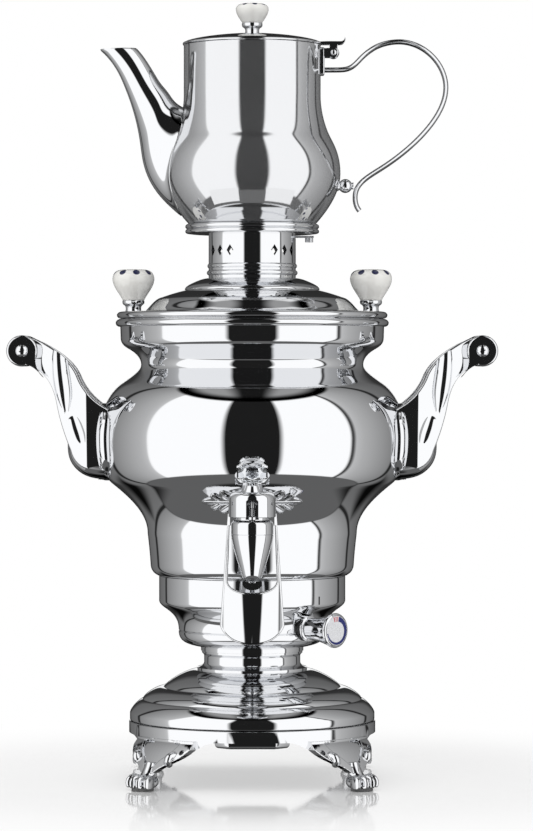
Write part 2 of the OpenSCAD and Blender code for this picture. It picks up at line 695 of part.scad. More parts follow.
// Both leaves, as one outline.
leaves = let (upper = concat([for (p = reversed(leaf_half)) [-p.x, p.y]], [for (i = [1:len(leaf_half) - 1]) leaf_half[i]]))
    concat(upper, [for (i = [len(upper) - 2:-1:1]) [upper[i].x, -upper[i].y]]);

flange_r = shank_r + 3;
flange_y = radius_at(tank_profile, tap_z + 0.7 * flange_r) + 1.5;
module tap_escutcheon() color("silver") difference() {
    union() {
        intersection() {
            tank_solid(2.2);
            translate([0, 0, tap_z + 5]) forwards() linear_extrude(far) polygon(leaves);
        }
        on_shank_axis(0) cylinder(h = flange_y, r = flange_r);
    }
    tank_solid();
    on_shank_axis(0) cylinder(h = far, r = shank_r);
}

module tap_valve() color("gray") at_nozzle() {
    translate([0, 0, seat_z + 1.6]) cylinder(h = 2.4, r = chamber_r - 1.5);
    translate([0, 0, seat_z + 1.6]) cylinder(h = pivot_z - seat_z - 1.6, r = stem_r);
    translate([0, 0, pivot_z]) sphere(r = ball_r);
}

module valve_seal() color("firebrick")
    at_nozzle() translate([0, 0, seat_z + 0.1]) cylinder(h = 1.5, r = chamber_r - 1.6);

// A round wire of radius w wound at radius r, n turns in height h.
module coil(r, w, h, n, around = 16, sides = 8) {
    rings = n * around;
    points = [for (i = [0:rings], j = [0:sides - 1])
        let (turn = 360 * i / around, side = 360 * j / sides)
        [(r + w * cos(side)) * cos(turn), (r + w * cos(side)) * sin(turn), h * i / rings + w * sin(side)]];
    walls = [for (i = [0:rings - 1], j = [0:sides - 1])
        let (k = (j + 1) % sides)
        [i * sides + j, (i + 1) * sides + j, (i + 1) * sides + k, i * sides + k]];
    polyhedron(points, concat(walls,
        [[for (j = [0:sides - 1]) j]], [[for (j = [sides - 1:-1:0]) rings * sides + j]]));
}

spring_wire_r = 0.45;
module tap_spring() color("lightsteelblue") at_nozzle()
    translate([0, 0, seat_z + 4.05 + spring_wire_r])
        coil(chamber_r - 2.2, spring_wire_r, chamber_top_z - seat_z - 4.1 - 2 * spring_wire_r, 5);

tongue_curve_r = 30;
tongue_proud = 2.4;
tongue_tilt = 9;
tongue_z = cap_z - tongue_h;
window_h = 47;
window_half_w = nozzle_r + 0.6;

// Half of the lever's front view below the cap: two arms that widen into a tongue.
tongue_half = concat(
    [[0, tongue_z]],
    curve([0, tongue_z], [tongue_w / 4, tongue_z], [tongue_w / 2 - 3, tongue_z + 4],
        [tongue_w / 2, tongue_z + 11.5], 1),
    curve([tongue_w / 2, tongue_z + 11.5], [tongue_w / 2 - 1.5, tongue_z + 30], [cap_r + 1.6, cap_z - 30],
        [cap_r + 0.2, cap_z + 2], 1),
    [[0, cap_z + 2]]);

window_half = concat(
    curve([0, cap_z - window_h], [window_half_w * 0.55, cap_z - window_h],
        [window_half_w + 1.2, cap_z - window_h + 2], [window_half_w + 1.2, cap_z - window_h + 8]),
    [[window_half_w, cap_z - 5], [window_half_w, cap_z + 3], [0, cap_z + 3]]);

module tongue() {
    intersection() {
        at_nozzle() translate([0, tongue_curve_r - tongue_proud, cap_z]) rotate([tongue_tilt, 0, 0])
            translate([0, 0, -far / 2]) difference() {
                cylinder(h = far, r = tongue_curve_r, $fn = 180);
                translate([0, 0, -1]) cylinder(h = far + 2, r = tongue_curve_r - tongue_t, $fn = 180);
            }
        forwards() translate([0, 0, tap_reach - tongue_curve_r]) linear_extrude(far) difference() {
            polygon(both_halves(tongue_half));
            polygon(both_halves(window_half));
        }
    }
}

// The cap with the two arms and the tongue, and the fork that lifts the valve's ball.
module tap_lever() color("silver") difference() {
    union() {
        at_nozzle() difference() {
            turned(concat([[0, cap_z], [cap_r, cap_z]],
                curve([cap_r, cap_top_z - 2.5], [cap_r, cap_top_z - 1], [cap_r - 1, cap_top_z],
                    [cap_r - 2.5, cap_top_z]),
                [[0, cap_top_z]]));
            translate([0, 0, cap_z - 1]) cylinder(h = cap_h - 0.4, r = cap_r - sheet_t);
            translate([-shank_r - 0.8, 0, cap_z - 1]) cube([2 * shank_r + 1.6, far, tap_z + shank_r + 2.5 - cap_z]);
        }
        at_nozzle() difference() {
            translate([-4.2, -4.2, pivot_z - 3.9]) cube([8.4, 8.6, cap_top_z - pivot_z + 3]);
            translate([-ball_r - 0.4, -ball_r - 0.5, pivot_z - ball_r - 0.4]) cube([2 * ball_r + 0.8, far, 2 * ball_r + 0.8]);
            translate([-stem_r - 0.4, -stem_r - 1.1, pivot_z - 5]) cube([2 * stem_r + 0.8, far, 5]);
        }
        tongue();
    }
    on_lever_pin() translate([0, 0, -far / 2]) cylinder(h = far, r = lever_pin_r + pin_gap);
}

module lever_neck() color("silver") at_nozzle() turned(concat(
    [[0, cap_top_z], [6, cap_top_z]],
    curve([6, cap_top_z + 0.8], [5.4, cap_top_z + 3], [3.8, cap_top_z + 4], [3.4, cap_top_z + 7.4]),
    [[0, cap_top_z + 7.4]]));

crystal_z = cap_top_z + 5.6;
module crystal_handle() color([0.85, 0.93, 0.97, 0.45]) at_nozzle() difference() {
    translate([0, 0, crystal_z]) intersection() {
        rotate([0, 0, 22.5]) cylinder(h = crystal_h, d = crystal_w / cos(22.5), $fn = 8);
        turned([[0, 0], [crystal_w * 0.3, 0], [crystal_w * 0.56, crystal_h * 0.22],
            [crystal_w * 0.56, crystal_h * 0.86], [crystal_w * 0.44, crystal_h], [0, crystal_h]]);
    }
    forwards() translate([0, 0, -far / 2]) linear_extrude(far)
        polygon([[0, crystal_z + crystal_h * 0.88], [crystal_w / 2, crystal_z + crystal_h + 1],
            [-crystal_w / 2, crystal_z + crystal_h + 1]]);
    translate([0, 0, cap_top_z]) cylinder(h = 7.5, r = 3.9);
}

// ---------------------------------------------------------------- side handles

grip_z = tank_z + grip_lift;
arm_in_half_w = arm_half_w - arm_t;

// Front view of an arm, from the eye down its upper edge and back up its lower edge.
arm_side = concat(
    curve([grip_reach - 3.7, grip_z + 0.93 * eye_r], [grip_reach - 17, grip_z + 3.6],
        [grip_reach - 30.5, grip_z - 3.9], [grip_reach - 35.7, grip_z - 15.4], 0, 8),
    curve([grip_reach - 35.7, grip_z - 15.4], [grip_reach - 37.5, grip_z - 20.4],
        [bulge_r + 6.5, bulge_z + 27.5], [bulge_r - 2, bulge_z + 21.5], 1),
    [[bulge_r - 12, bulge_z + 20], [bulge_r - 12, bulge_z - 28]],
    curve([bulge_r - 3.6, bulge_z - 27], [bulge_r + 10, bulge_z - 25.5], [bulge_r + 19, bulge_z - 19],
        [bulge_r + 19.5, bulge_z - 9]),
    curve([bulge_r + 19.5, bulge_z - 9], [bulge_r + 20, bulge_z - 1], [grip_reach - 24.2, grip_z - 45.4],
        [grip_reach - 22.2, grip_z - 34.4], 1),
    curve([grip_reach - 22.2, grip_z - 34.4], [grip_reach - 20.2, grip_z - 23.4],
        [grip_reach - 16.2, grip_z - 14.4], [grip_reach - 4.2, grip_z - 0.91 * eye_r], 1));

// Top view of one arm: it narrows from the pad towards the eye.
arm_plan = [[0, arm_half_w + 4], [bulge_r, arm_half_w + 4], [bulge_r + 12, arm_half_w + 1],
    [bulge_r + 26, arm_half_w - 0.5], [grip_reach - 12, arm_half_w], [far, arm_half_w],
    [far, arm_in_half_w], [0, arm_in_half_w]];

boot_z = bulge_z - 6;

module handle_on_right() color("silver") difference() {
    union() {
        for (side = [0, 1]) mirror([0, side, 0]) intersection() {
            rotate([90, 0, 0]) translate([0, 0, -far / 2]) linear_extrude(far) {
                polygon(arm_side);
                translate([grip_reach, grip_z]) circle(r = eye_r);
            }
            linear_extrude(far) polygon(arm_plan);
        }
        // The boot that joins both arms at the bottom.
        intersection() {
            rotate([90, 0, 0]) translate([0, 0, -arm_in_half_w - 0.5]) linear_extrude(2 * arm_in_half_w + 1)
                intersection() {
                    polygon(arm_side);
                    translate([bulge_r - 20, boot_z - far]) square([60, far]);
                }
        }
        intersection() {
            tank_solid(handle_pad_t);
            translate([bulge_r - 25, 0, 0]) rotate([90, 0, 90]) linear_extrude(far)
                polygon(pad_outline);
        }
    }
    tank_solid();
    translate([grip_reach, 0, grip_z]) rotate([90, 0, 0]) translate([0, 0, -far / 2])
        cylinder(h = far, r = 2 + pin_gap);
    for (z = handle_stud_z) translate([0, 0, z]) rotate([0, 90, 0]) cylinder(h = stud_end, r = stud_r);
}

// The pad's outline seen from the side: flat sides with round ends.
pad_outline = let (w = handle_pad_half_w, low = bulge_z - 28, high = bulge_z + 22)
    concat(
        curve([-w, bulge_z - 6], [-w, low + 6], [-w + 12, low], [0, low]),
        curve([0, low], [w - 12, low], [w, low + 6], [w, bulge_z - 6], 1),
        curve([w, bulge_z + 4], [w, high - 6], [w - 12, high], [0, high]),
        curve([0, high], [-w + 12, high], [-w, high - 6], [-w, bulge_z + 4], 1));

module handle_right() handle_on_right();
module handle_left() mirror([1, 0, 0]) handle_on_right();

module grip_on_right() color("silver") translate([grip_reach, 0, grip_z]) rotate([90, 0, 0]) difference() {
    translate([0, 0, -arm_in_half_w]) cylinder(h = 2 * arm_in_half_w, r = grip_r);
    translate([0, 0, -far / 2]) cylinder(h = far, r = 2);
}

module handle_grip_right() grip_on_right();
module handle_grip_left() mirror([1, 0, 0]) grip_on_right();

module handle_screws() color("gainsboro") on_both_sides() translate([grip_reach, 0, grip_z])
    for (side = [0, 1]) mirror([0, side, 0]) rotate([90, 0, 0]) {
        translate([0, 0, arm_half_w]) difference() {
            cylinder(h = 1.6, r = 4.2);
            translate([0, 0, 0.8]) for (turn = [0, 90]) rotate([0, 0, turn]) cube([5, 1, 3], center = true);
        }
        translate([0, 0, 4]) cylinder(h = arm_half_w - 4, r = 2);
    }

module handle_studs() color("gray") on_both_sides() for (z = handle_stud_z)
    translate([bulge_r - 12, 0, z]) rotate([0, 90, 0]) cylinder(h = stud_end - bulge_r + 12, r = stud_r);

module handle_nuts() color("goldenrod") on_both_sides() for (z = handle_stud_z) intersection() {
    translate([radius_at(tank_profile, z) - sheet_t - 4, 0, z]) rotate([0, 90, 0]) hexagon(8, stud_r, 10);
    tank_solid(-sheet_t);
}

// ---------------------------------------------------------------- lid, chimney and holder

module lid_shell() color("silver") difference() {
    union() {
        spun(lid_profile);
        translate([0, 0, lid_z]) rotate_extrude() rolled_edge(lid_r, lid_roll_h, 5);
        translate([0, 0, lid_top_z - sheet_t]) ring(lid_r - 3, lid_dome_r - 2, sheet_t);
        translate([0, 0, lid_z - 10]) ring(collar_r - 2 * sheet_t, collar_r - 3 * sheet_t, 10 + lid_roll_h);
    }
    cylinder(h = far, r = chimney_r);
    on_both_sides() translate([knob_reach, 0, lid_z]) cylinder(h = 20, r = 2);
}

lid_ferrule_h = 7.4;
module lid_knob_ferrules() color("silver") on_both_sides() translate([knob_reach, 0, lid_top_z]) {
    turned(concat([[0, 0], [5.2, 0], [4.8, 1.4]],
        curve([4.8, 1.4], [4.6, 3.4], [6.4, 4], [7.1, 5.4], 1),
        [[7.1, lid_ferrule_h], [0, lid_ferrule_h]]));
    translate([0, 0, -sheet_t]) cylinder(h = sheet_t, r = 2);
    translate([0, 0, -sheet_t - 3.5]) cylinder(h = 3.5, r = 4);
}

// A porcelain knob of the given height and largest radius on a neck.
module porcelain(r, neck, h) turned(concat(
    [[0, 0], [neck, 0]],
    curve([neck, 0.02 * h], [neck + 0.12 * r, 0.2 * h], [0.98 * r, 0.42 * h], [r, 0.68 * h], 1),
    curve([r, 0.68 * h], [r, 0.86 * h], [0.82 * r, 0.98 * h], [0.5 * r, h], 1),
    [[0, h]]));

lid_knob_h = 20;
module lid_knob_right() color("white") translate([knob_reach, 0, lid_top_z + lid_ferrule_h]) porcelain(13.5, 7.1, lid_knob_h);
module lid_knob_left() mirror([1, 0, 0]) lid_knob_right();

vent_pitch = 16.5;
vent_z = chimney_z + 0.62 * chimney_h;
sleeve_ledge_z = vent_z - 8.5;

// Four groups of three diamond vents round the axis.
module vents() {
    for (group = [45, 135, 225, 315], i = [-1, 0, 1])
        rotate([0, 0, group + (i + 0.12 * (group % 180 == 45 ? -1 : 1)) * vent_pitch])
            translate([0, 0, vent_z]) rotate([0, 90, 0]) linear_extrude(far)
                polygon([[-vent_h / 2, 0], [0, vent_w / 2], [vent_h / 2, 0], [0, -vent_w / 2]]);
}

damper_sweep = 42;
slot_z = dish_z - 3;
module chimney() color("silver") difference() {
    union() {
        translate([0, 0, chimney_z - 6]) ring(chimney_r, chimney_r - sheet_t, dish_z - chimney_z + 6);
        for (z = [chimney_z + 3.3, sleeve_ledge_z - 1])
            translate([0, 0, z]) rotate_extrude() translate([chimney_r - 0.6, 0]) circle(r = 1.4, $fn = 32);
        translate([0, 0, sleeve_ledge_z - 2]) ring(chimney_r, chimney_r - 2.4, 2);
    }
    vents();
    // Slot for the damper's handle.
    translate([0, 0, slot_z]) rotate([0, 0, -6]) rotate_extrude(angle = damper_sweep + 12)
        translate([chimney_r - 5, 0]) square([20, 3.1]);
}

sleeve_r = chimney_r - sheet_t - loose_gap;
module damper_sleeve() color("gainsboro") difference() {
    union() {
        translate([0, 0, sleeve_ledge_z + loose_gap])
            ring(sleeve_r, sleeve_r - 0.8, slot_z + 1.9 - sleeve_ledge_z - loose_gap);
        translate([0, 0, slot_z + 0.7]) rotate([0, 0, -4]) rotate_extrude(angle = 8)
            translate([sleeve_r - 0.5, 0]) square([dish_r - 3 - sleeve_r, 1.2]);
        translate([dish_r - 6.5, 0, slot_z - 2.2]) cylinder(h = 4.1, r = 2.6);
    }
    vents();
}

holder_bore_r = 18;
module teapot_holder() color("silver") spun(concat(
    [[holder_bore_r, dish_z], [chimney_r + 3, dish_z]],
    curve([chimney_r + 3, dish_z], [dish_r - 3, dish_z], [dish_r, dish_z + 0.6], [dish_r, dish_z + 3], 1),
    [[dish_r, dish_z + dish_h]]));

// ---------------------------------------------------------------- teapot

module pot_solid(grow = 0) {
    p = inset(pot_profile, -grow);
    turned(concat([[0, p[0].y]], p, [[0, p[len(p) - 1].y]]));
}

spout_hole_r = 12;
spout_hole_z = pot_z + 0.4 * pot_h;
module teapot_shell() color("silver") difference() {
    union() {
        spun(pot_profile);
        translate([0, 0, pot_z]) cylinder(h = sheet_t, r = pot_foot_r + 0.2);
    }
    translate([0, 0, spout_hole_z]) rotate([0, -90, 0]) cylinder(h = far, r = spout_hole_r);
}

module teapot_strainer() color("gainsboro") difference() {
    intersection() {
        difference() {
            pot_solid(-sheet_t);
            pot_solid(-sheet_t - 0.8);
        }
        translate([0, 0, spout_hole_z]) rotate([0, -90, 0]) cylinder(h = far, r = spout_hole_r + 3);
    }
    for (row = [-2:2], i = [-2:2])
        if (norm([row * 4.6, (i + (row % 2) / 2) * 5.2]) < spout_hole_r - 1.4)
            translate([0, (i + (row % 2) / 2) * 5.2, spout_hole_z + row * 4.6]) rotate([0, -90, 0])
                cylinder(h = far, r = 1.5);
}

spout_reach = belly_r + 40.7;
spout_low_z = pot_z + 10.3;
spout_high_z = pot_z + 79;
spout_tip_z = mouth_z - 1.8;
spout_steps = 5;

// The spout's lower and upper outlines in its middle plane, from the pot to the lip.
spout_low = concat(
    curve([-radius_at(pot_profile, spout_low_z), spout_low_z], [-belly_r - 3, belly_z - 15.5],
        [-belly_r - 11.5, belly_z - 3.5], [-belly_r - 13.5, belly_z + 13.5], 0, spout_steps),
    curve([-belly_r - 13.5, belly_z + 13.5], [-belly_r - 15.2, belly_z + 30.5], [-belly_r - 19, spout_tip_z - 36.5],
        [-belly_r - 25.9, spout_tip_z - 20.5], 1, spout_steps),
    curve([-belly_r - 25.9, spout_tip_z - 20.5], [-belly_r - 29.5, spout_tip_z - 12], [-belly_r - 34.5, spout_tip_z - 5],
        [-spout_reach, spout_tip_z], 1, spout_steps));
spout_high = concat(
    curve([-radius_at(pot_profile, spout_high_z), spout_high_z], [-mouth_r - 3.6, spout_high_z + 1.4],
        [-mouth_r - 7, spout_high_z + 4.2], [-mouth_r - 9.9, spout_high_z + 9], 0, spout_steps),
    curve([-mouth_r - 9.9, spout_high_z + 9], [-mouth_r - 12.6, spout_high_z + 13], [-mouth_r - 14.6, spout_tip_z - 25],
        [-mouth_r - 17.4, spout_tip_z - 20.5], 1, spout_steps),
    curve([-mouth_r - 17.4, spout_tip_z - 20.5], [-mouth_r - 22.3, spout_tip_z - 12.5],
        [-mouth_r - 26, spout_tip_z - 5.5], [-spout_reach + 21.9, spout_tip_z], 1, spout_steps));
spout_rings = 3 * spout_steps;
spout_sides = 24;

// Half width of the spout along its length, t from 0 at the pot to 1 at the lip.
function spout_half_w(t) = 15.5 * pow(1 - t, 1.6) + 6.2 + 1.2 * pow(t, 6);

// One point of the spout's skin, t thick inside its outer outline, kept outside the pot.
function spout_point(i, j, t) =
    let (
        a = spout_low[i],
        b = spout_high[i],
        across = (b - a) / norm(b - a),
        middle = (a + b) / 2,
        turn = 360 * j / spout_sides,
        p = middle - across * (norm(b - a) / 2 - t) * cos(turn),
        y = (spout_half_w(i / spout_rings) - t) * sin(turn),
        wall = radius_at(pot_profile, p.y) + loose_gap,
        face = -sqrt(max(wall * wall - y * y, 0)))
    [i == 0 ? face : min(p.x, face), y, p.y];

module teapot_spout() color("silver") {
    n = spout_sides;
    size = (spout_rings + 1) * n;
    outer = [for (i = [0:spout_rings], j = [0:n - 1]) spout_point(i, j, 0)];
    inner = [for (i = [0:spout_rings], j = [0:n - 1]) spout_point(i, j, 1.1)];
    polyhedron(concat(outer, inner), concat(
        [for (i = [0:spout_rings - 1], j = [0:n - 1]) let (k = (j + 1) % n)
            [i * n + j, i * n + k, (i + 1) * n + k, (i + 1) * n + j]],
        [for (i = [0:spout_rings - 1], j = [0:n - 1]) let (k = (j + 1) % n)
            [size + i * n + j, size + (i + 1) * n + j, size + (i + 1) * n + k, size + i * n + k]],
        [for (j = [0:n - 1]) let (k = (j + 1) % n) [j, size + j, size + k, k]],
        [for (j = [0:n - 1]) let (k = (j + 1) % n, e = spout_rings * n)
            [e + j, e + k, size + e + k, size + e + j]]));
}

// Centre line of the handle's strap, from the bracket at the mouth to the curl at the bottom.
bracket_z = mouth_z - 15.6;
handle_ball_z = pot_z + 29.6;
strap_path = concat(
    [[mouth_r, bracket_z], [mouth_r + 12, bracket_z]],
    curve([mouth_r + 12, bracket_z], [mouth_r + 23, bracket_z], [mouth_r + 22.5, bracket_z + 6.5],
        [mouth_r + 32.4, bracket_z + 12.9], 1),
    curve([mouth_r + 32.4, bracket_z + 12.9], [mouth_r + 38, bracket_z + 17], [mouth_r + 47, bracket_z + 18.8],
        [mouth_r + 53.8, bracket_z + 18], 1),
    curve([mouth_r + 53.8, bracket_z + 18], [belly_r + 55, bracket_z + 16.5], [belly_r + 68, bracket_z + 3.5],
        [belly_r + 68, bracket_z - 11.7], 1, 8),
    curve([belly_r + 68, bracket_z - 11.7], [belly_r + 68, belly_z + 35.5], [belly_r + 43, belly_z + 14.5],
        [belly_r + 28.7, belly_z + 5.2], 1, 8),
    curve([belly_r + 28.7, belly_z + 5.2], [belly_r + 18, belly_z - 1.8], [belly_r + 9.3, handle_ball_z + 2.2],
        [belly_r + 9.3, handle_ball_z - 7], 1),
    curve([belly_r + 9.3, handle_ball_z - 7], [belly_r + 9.3, handle_ball_z - 10],
        [belly_r + 10, handle_ball_z - 14], [belly_r + 12.2, handle_ball_z - 16], 1, 3));

hinge_x = mouth_r + 8.2;
hinge_z = mouth_z - 4.7;

// An arm of the hinge: from the pot's wall to the knuckle.
module hinge_ear() {
    translate([mouth_r - 0.5, hinge_z - 2.8]) square([hinge_x - mouth_r + 0.5, 5.6]);
    translate([hinge_x, hinge_z]) circle(r = 3.2);
}

module teapot_handle() color("silver") difference() {
    union() {
        rotate([90, 0, 0]) translate([0, 0, -strap_w / 2]) linear_extrude(strap_w) polygon(strip(strap_path, strap_t));
        for (side = [0, 1]) mirror([0, side, 0])
            rotate([90, 0, 0]) translate([0, 0, 3.3]) linear_extrude(2.6) hinge_ear();
        translate([mouth_r - 2, -6, bracket_z - 2.5]) cube([5, 12, mouth_z - bracket_z + 1]);
    }
    pot_solid();
    translate([hinge_x, 0, hinge_z]) rotate([90, 0, 0]) translate([0, 0, -10]) cylinder(h = 20, r = hinge_pin_r);
}

module hinge_pin() color("gray") translate([hinge_x, 0, hinge_z]) rotate([90, 0, 0])
    translate([0, 0, -6.4]) cylinder(h = 12.8, r = hinge_pin_r);

ball_seat = radius_at(pot_profile, handle_ball_z);
module handle_ball() color("silver") difference() {
    translate([0, 0, handle_ball_z]) {
        translate([belly_r + 9.3 - strap_t / 2 - 4.6, 0, 0]) sphere(r = 4.5);
        translate([ball_seat - 2, 0, 0]) rotate([0, 90, 0]) cylinder(h = belly_r + 9.3 - strap_t / 2 - ball_seat + 2.8, r = 2.2);
    }
    pot_solid();
    rotate([90, 0, 0]) translate([0, 0, -strap_w / 2]) linear_extrude(strap_w) polygon(strip(strap_path, strap_t));
}

pot_lid_edge_h = 2.3;
pot_lid_top_z = pot_lid_z + pot_lid_edge_h + pot_lid_h - 0.8;
plug_r = mouth_r - sheet_t - 1.4;
plug_h = 7;

// Section of the lid: cone, rolled edge and the plug that drops into the pot.
pot_lid_section = concat(
    [[0, pot_lid_top_z - sheet_t], [16, pot_lid_top_z - sheet_t - 0.3]],
    [[plug_r - sheet_t, pot_lid_z + 0.6], [plug_r - sheet_t, pot_lid_z - plug_h],
        [plug_r, pot_lid_z - plug_h], [plug_r, pot_lid_z]],
    [[mouth_r + 0.3, pot_lid_z], [mouth_r + 0.6, pot_lid_z + 0.8], [mouth_r + 0.6, pot_lid_z + 1.6]],
    curve([mouth_r, pot_lid_z + pot_lid_edge_h], [mouth_r - 6, pot_lid_z + pot_lid_edge_h + 0.36 * pot_lid_h],
        [24, pot_lid_top_z - 0.9], [16, pot_lid_top_z - 0.3]),
    [[0, pot_lid_top_z]]);

module teapot_lid() color("silver") difference() {
    union() {
        turned(pot_lid_section);
        // Tail with its thumb tab and the knuckle under it.
        rotate([90, 0, 0]) translate([0, 0, -3]) linear_extrude(6) {
            polygon(concat(
                [[mouth_r - 1, pot_lid_z + 0.2], [mouth_r - 1, pot_lid_z + 2]],
                curve([mouth_r + 4, pot_lid_z + 2.6], [hinge_x, pot_lid_z + 2.8], [hinge_x + 4, pot_lid_z + 3.4],
                    [hinge_x + 7.5, pot_lid_z + 4.6]),
                [[hinge_x + 7.5, pot_lid_z + 3.4], [hinge_x + 2.6, pot_lid_z + 1.4], [hinge_x + 2.6, hinge_z],
                    [hinge_x - 2.6, hinge_z], [hinge_x - 2.6, pot_lid_z + 0.6], [mouth_r + 0.4, pot_lid_z + 0.2]]));
            translate([hinge_x, hinge_z]) circle(r = knuckle_r);
        }
    }
    translate([hinge_x, 0, hinge_z]) rotate([90, 0, 0]) translate([0, 0, -10]) cylinder(h = 20, r = hinge_pin_r + pin_gap);
    translate([0, 0, pot_lid_z]) cylinder(h = 30, r = 2);
}

pot_ferrule_h = 7.4;
module teapot_ferrule() color("silver") translate([0, 0, pot_lid_top_z]) {
    turned(concat([[0, 0], [8.4, 0], [8.4, 1], [6.6, 2]],
        curve([6.6, 2], [5.6, 3.2], [5.8, 4.6], [6.65, 5.4], 1),
        [[6.65, pot_ferrule_h], [0, pot_ferrule_h]]));
    translate([0, 0, -sheet_t - 0.2]) cylinder(h = sheet_t + 0.2, r = 2);
    translate([0, 0, -sheet_t - 3.2]) cylinder(h = 3, r = 4);
}

module teapot_knob() color("white") translate([0, 0, pot_lid_top_z + pot_ferrule_h]) porcelain(10.6, 6.6, 12.5);

// ---------------------------------------------------------------- the whole samovar

foot_pads();
leg_front_left();
leg_front_right();
leg_rear_left();
leg_rear_right();
base_skirt();
base_dome();
base_cover();
bottom_box();
tie_bolt();
tie_nuts();
pedestal_neck();
heater_housing();
mains_inlet();
inlet_pins();
terminal_block();
thermostat();
thermostat_collar();
thermostat_shaft();
thermostat_knob();
dial_disc();
thermal_cutout();
heating_element();
element_gaskets();
element_nuts();
tank_shell();
tap_escutcheon();
tap_body();
tap_washer();
tap_nut();
tap_valve();
valve_seal();
tap_spring();
tap_lever();
lever_neck();
crystal_handle();
lever_pin();
handle_left();
handle_right();
handle_grip_left();
handle_grip_right();
handle_screws();
handle_studs();
handle_nuts();
lid_shell();
lid_knob_left();
lid_knob_right();
lid_knob_ferrules();
chimney();
damper_sleeve();
teapot_holder();
teapot_shell();
teapot_spout();
teapot_strainer();
teapot_handle();
handle_ball();
hinge_pin();
teapot_lid();
teapot_knob();
teapot_ferrule();
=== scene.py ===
"""Dress an electric table samovar: spun steel shells, cast fittings, porcelain knobs and a studio."""

from __future__ import annotations

import json
import logging
import math
from collections.abc import Iterator, Sequence
from contextlib import contextmanager
from dataclasses import dataclass, field
from enum import Enum

import bpy
from mathutils import Matrix, Vector

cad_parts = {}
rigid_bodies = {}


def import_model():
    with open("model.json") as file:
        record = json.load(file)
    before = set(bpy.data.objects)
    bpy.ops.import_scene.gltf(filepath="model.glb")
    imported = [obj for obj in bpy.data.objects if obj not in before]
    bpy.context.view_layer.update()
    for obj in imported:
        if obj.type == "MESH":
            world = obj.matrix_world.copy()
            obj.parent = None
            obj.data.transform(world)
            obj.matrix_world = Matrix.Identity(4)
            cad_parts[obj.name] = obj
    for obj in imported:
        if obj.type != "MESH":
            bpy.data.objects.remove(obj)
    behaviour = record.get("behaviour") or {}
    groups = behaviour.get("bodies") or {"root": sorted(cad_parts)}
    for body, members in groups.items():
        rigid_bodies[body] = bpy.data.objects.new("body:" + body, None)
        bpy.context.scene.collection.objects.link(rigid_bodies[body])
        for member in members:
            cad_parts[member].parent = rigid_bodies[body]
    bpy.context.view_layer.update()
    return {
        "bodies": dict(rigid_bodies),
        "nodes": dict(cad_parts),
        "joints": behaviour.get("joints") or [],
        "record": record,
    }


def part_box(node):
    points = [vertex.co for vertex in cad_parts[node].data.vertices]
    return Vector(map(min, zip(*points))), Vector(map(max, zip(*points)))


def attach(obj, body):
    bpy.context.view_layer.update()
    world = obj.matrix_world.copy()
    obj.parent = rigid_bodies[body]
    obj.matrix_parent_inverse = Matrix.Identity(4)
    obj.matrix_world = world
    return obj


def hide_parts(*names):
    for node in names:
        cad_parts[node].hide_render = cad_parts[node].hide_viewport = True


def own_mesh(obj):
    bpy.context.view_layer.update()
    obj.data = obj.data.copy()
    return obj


log = logging.getLogger("samovar")

MM = 0.001
Point = tuple[float, float]
Place = tuple[float, float, float]
Colour = tuple[float, float, float, float]
Piece = bpy.types.Object
Material = bpy.types.Material
Tree = bpy.types.NodeTree
Node = bpy.types.Node
Socket = bpy.types.NodeSocket


class Body(Enum):
    """The bodies that the pieces ride on."""

    URN = "samovar"
    DIAL = "dial"
    LEVER = "lever"
    LID = "lid"
    TEAPOT = "teapot"
    COVER = "teapot_cover"


# ---- outlines


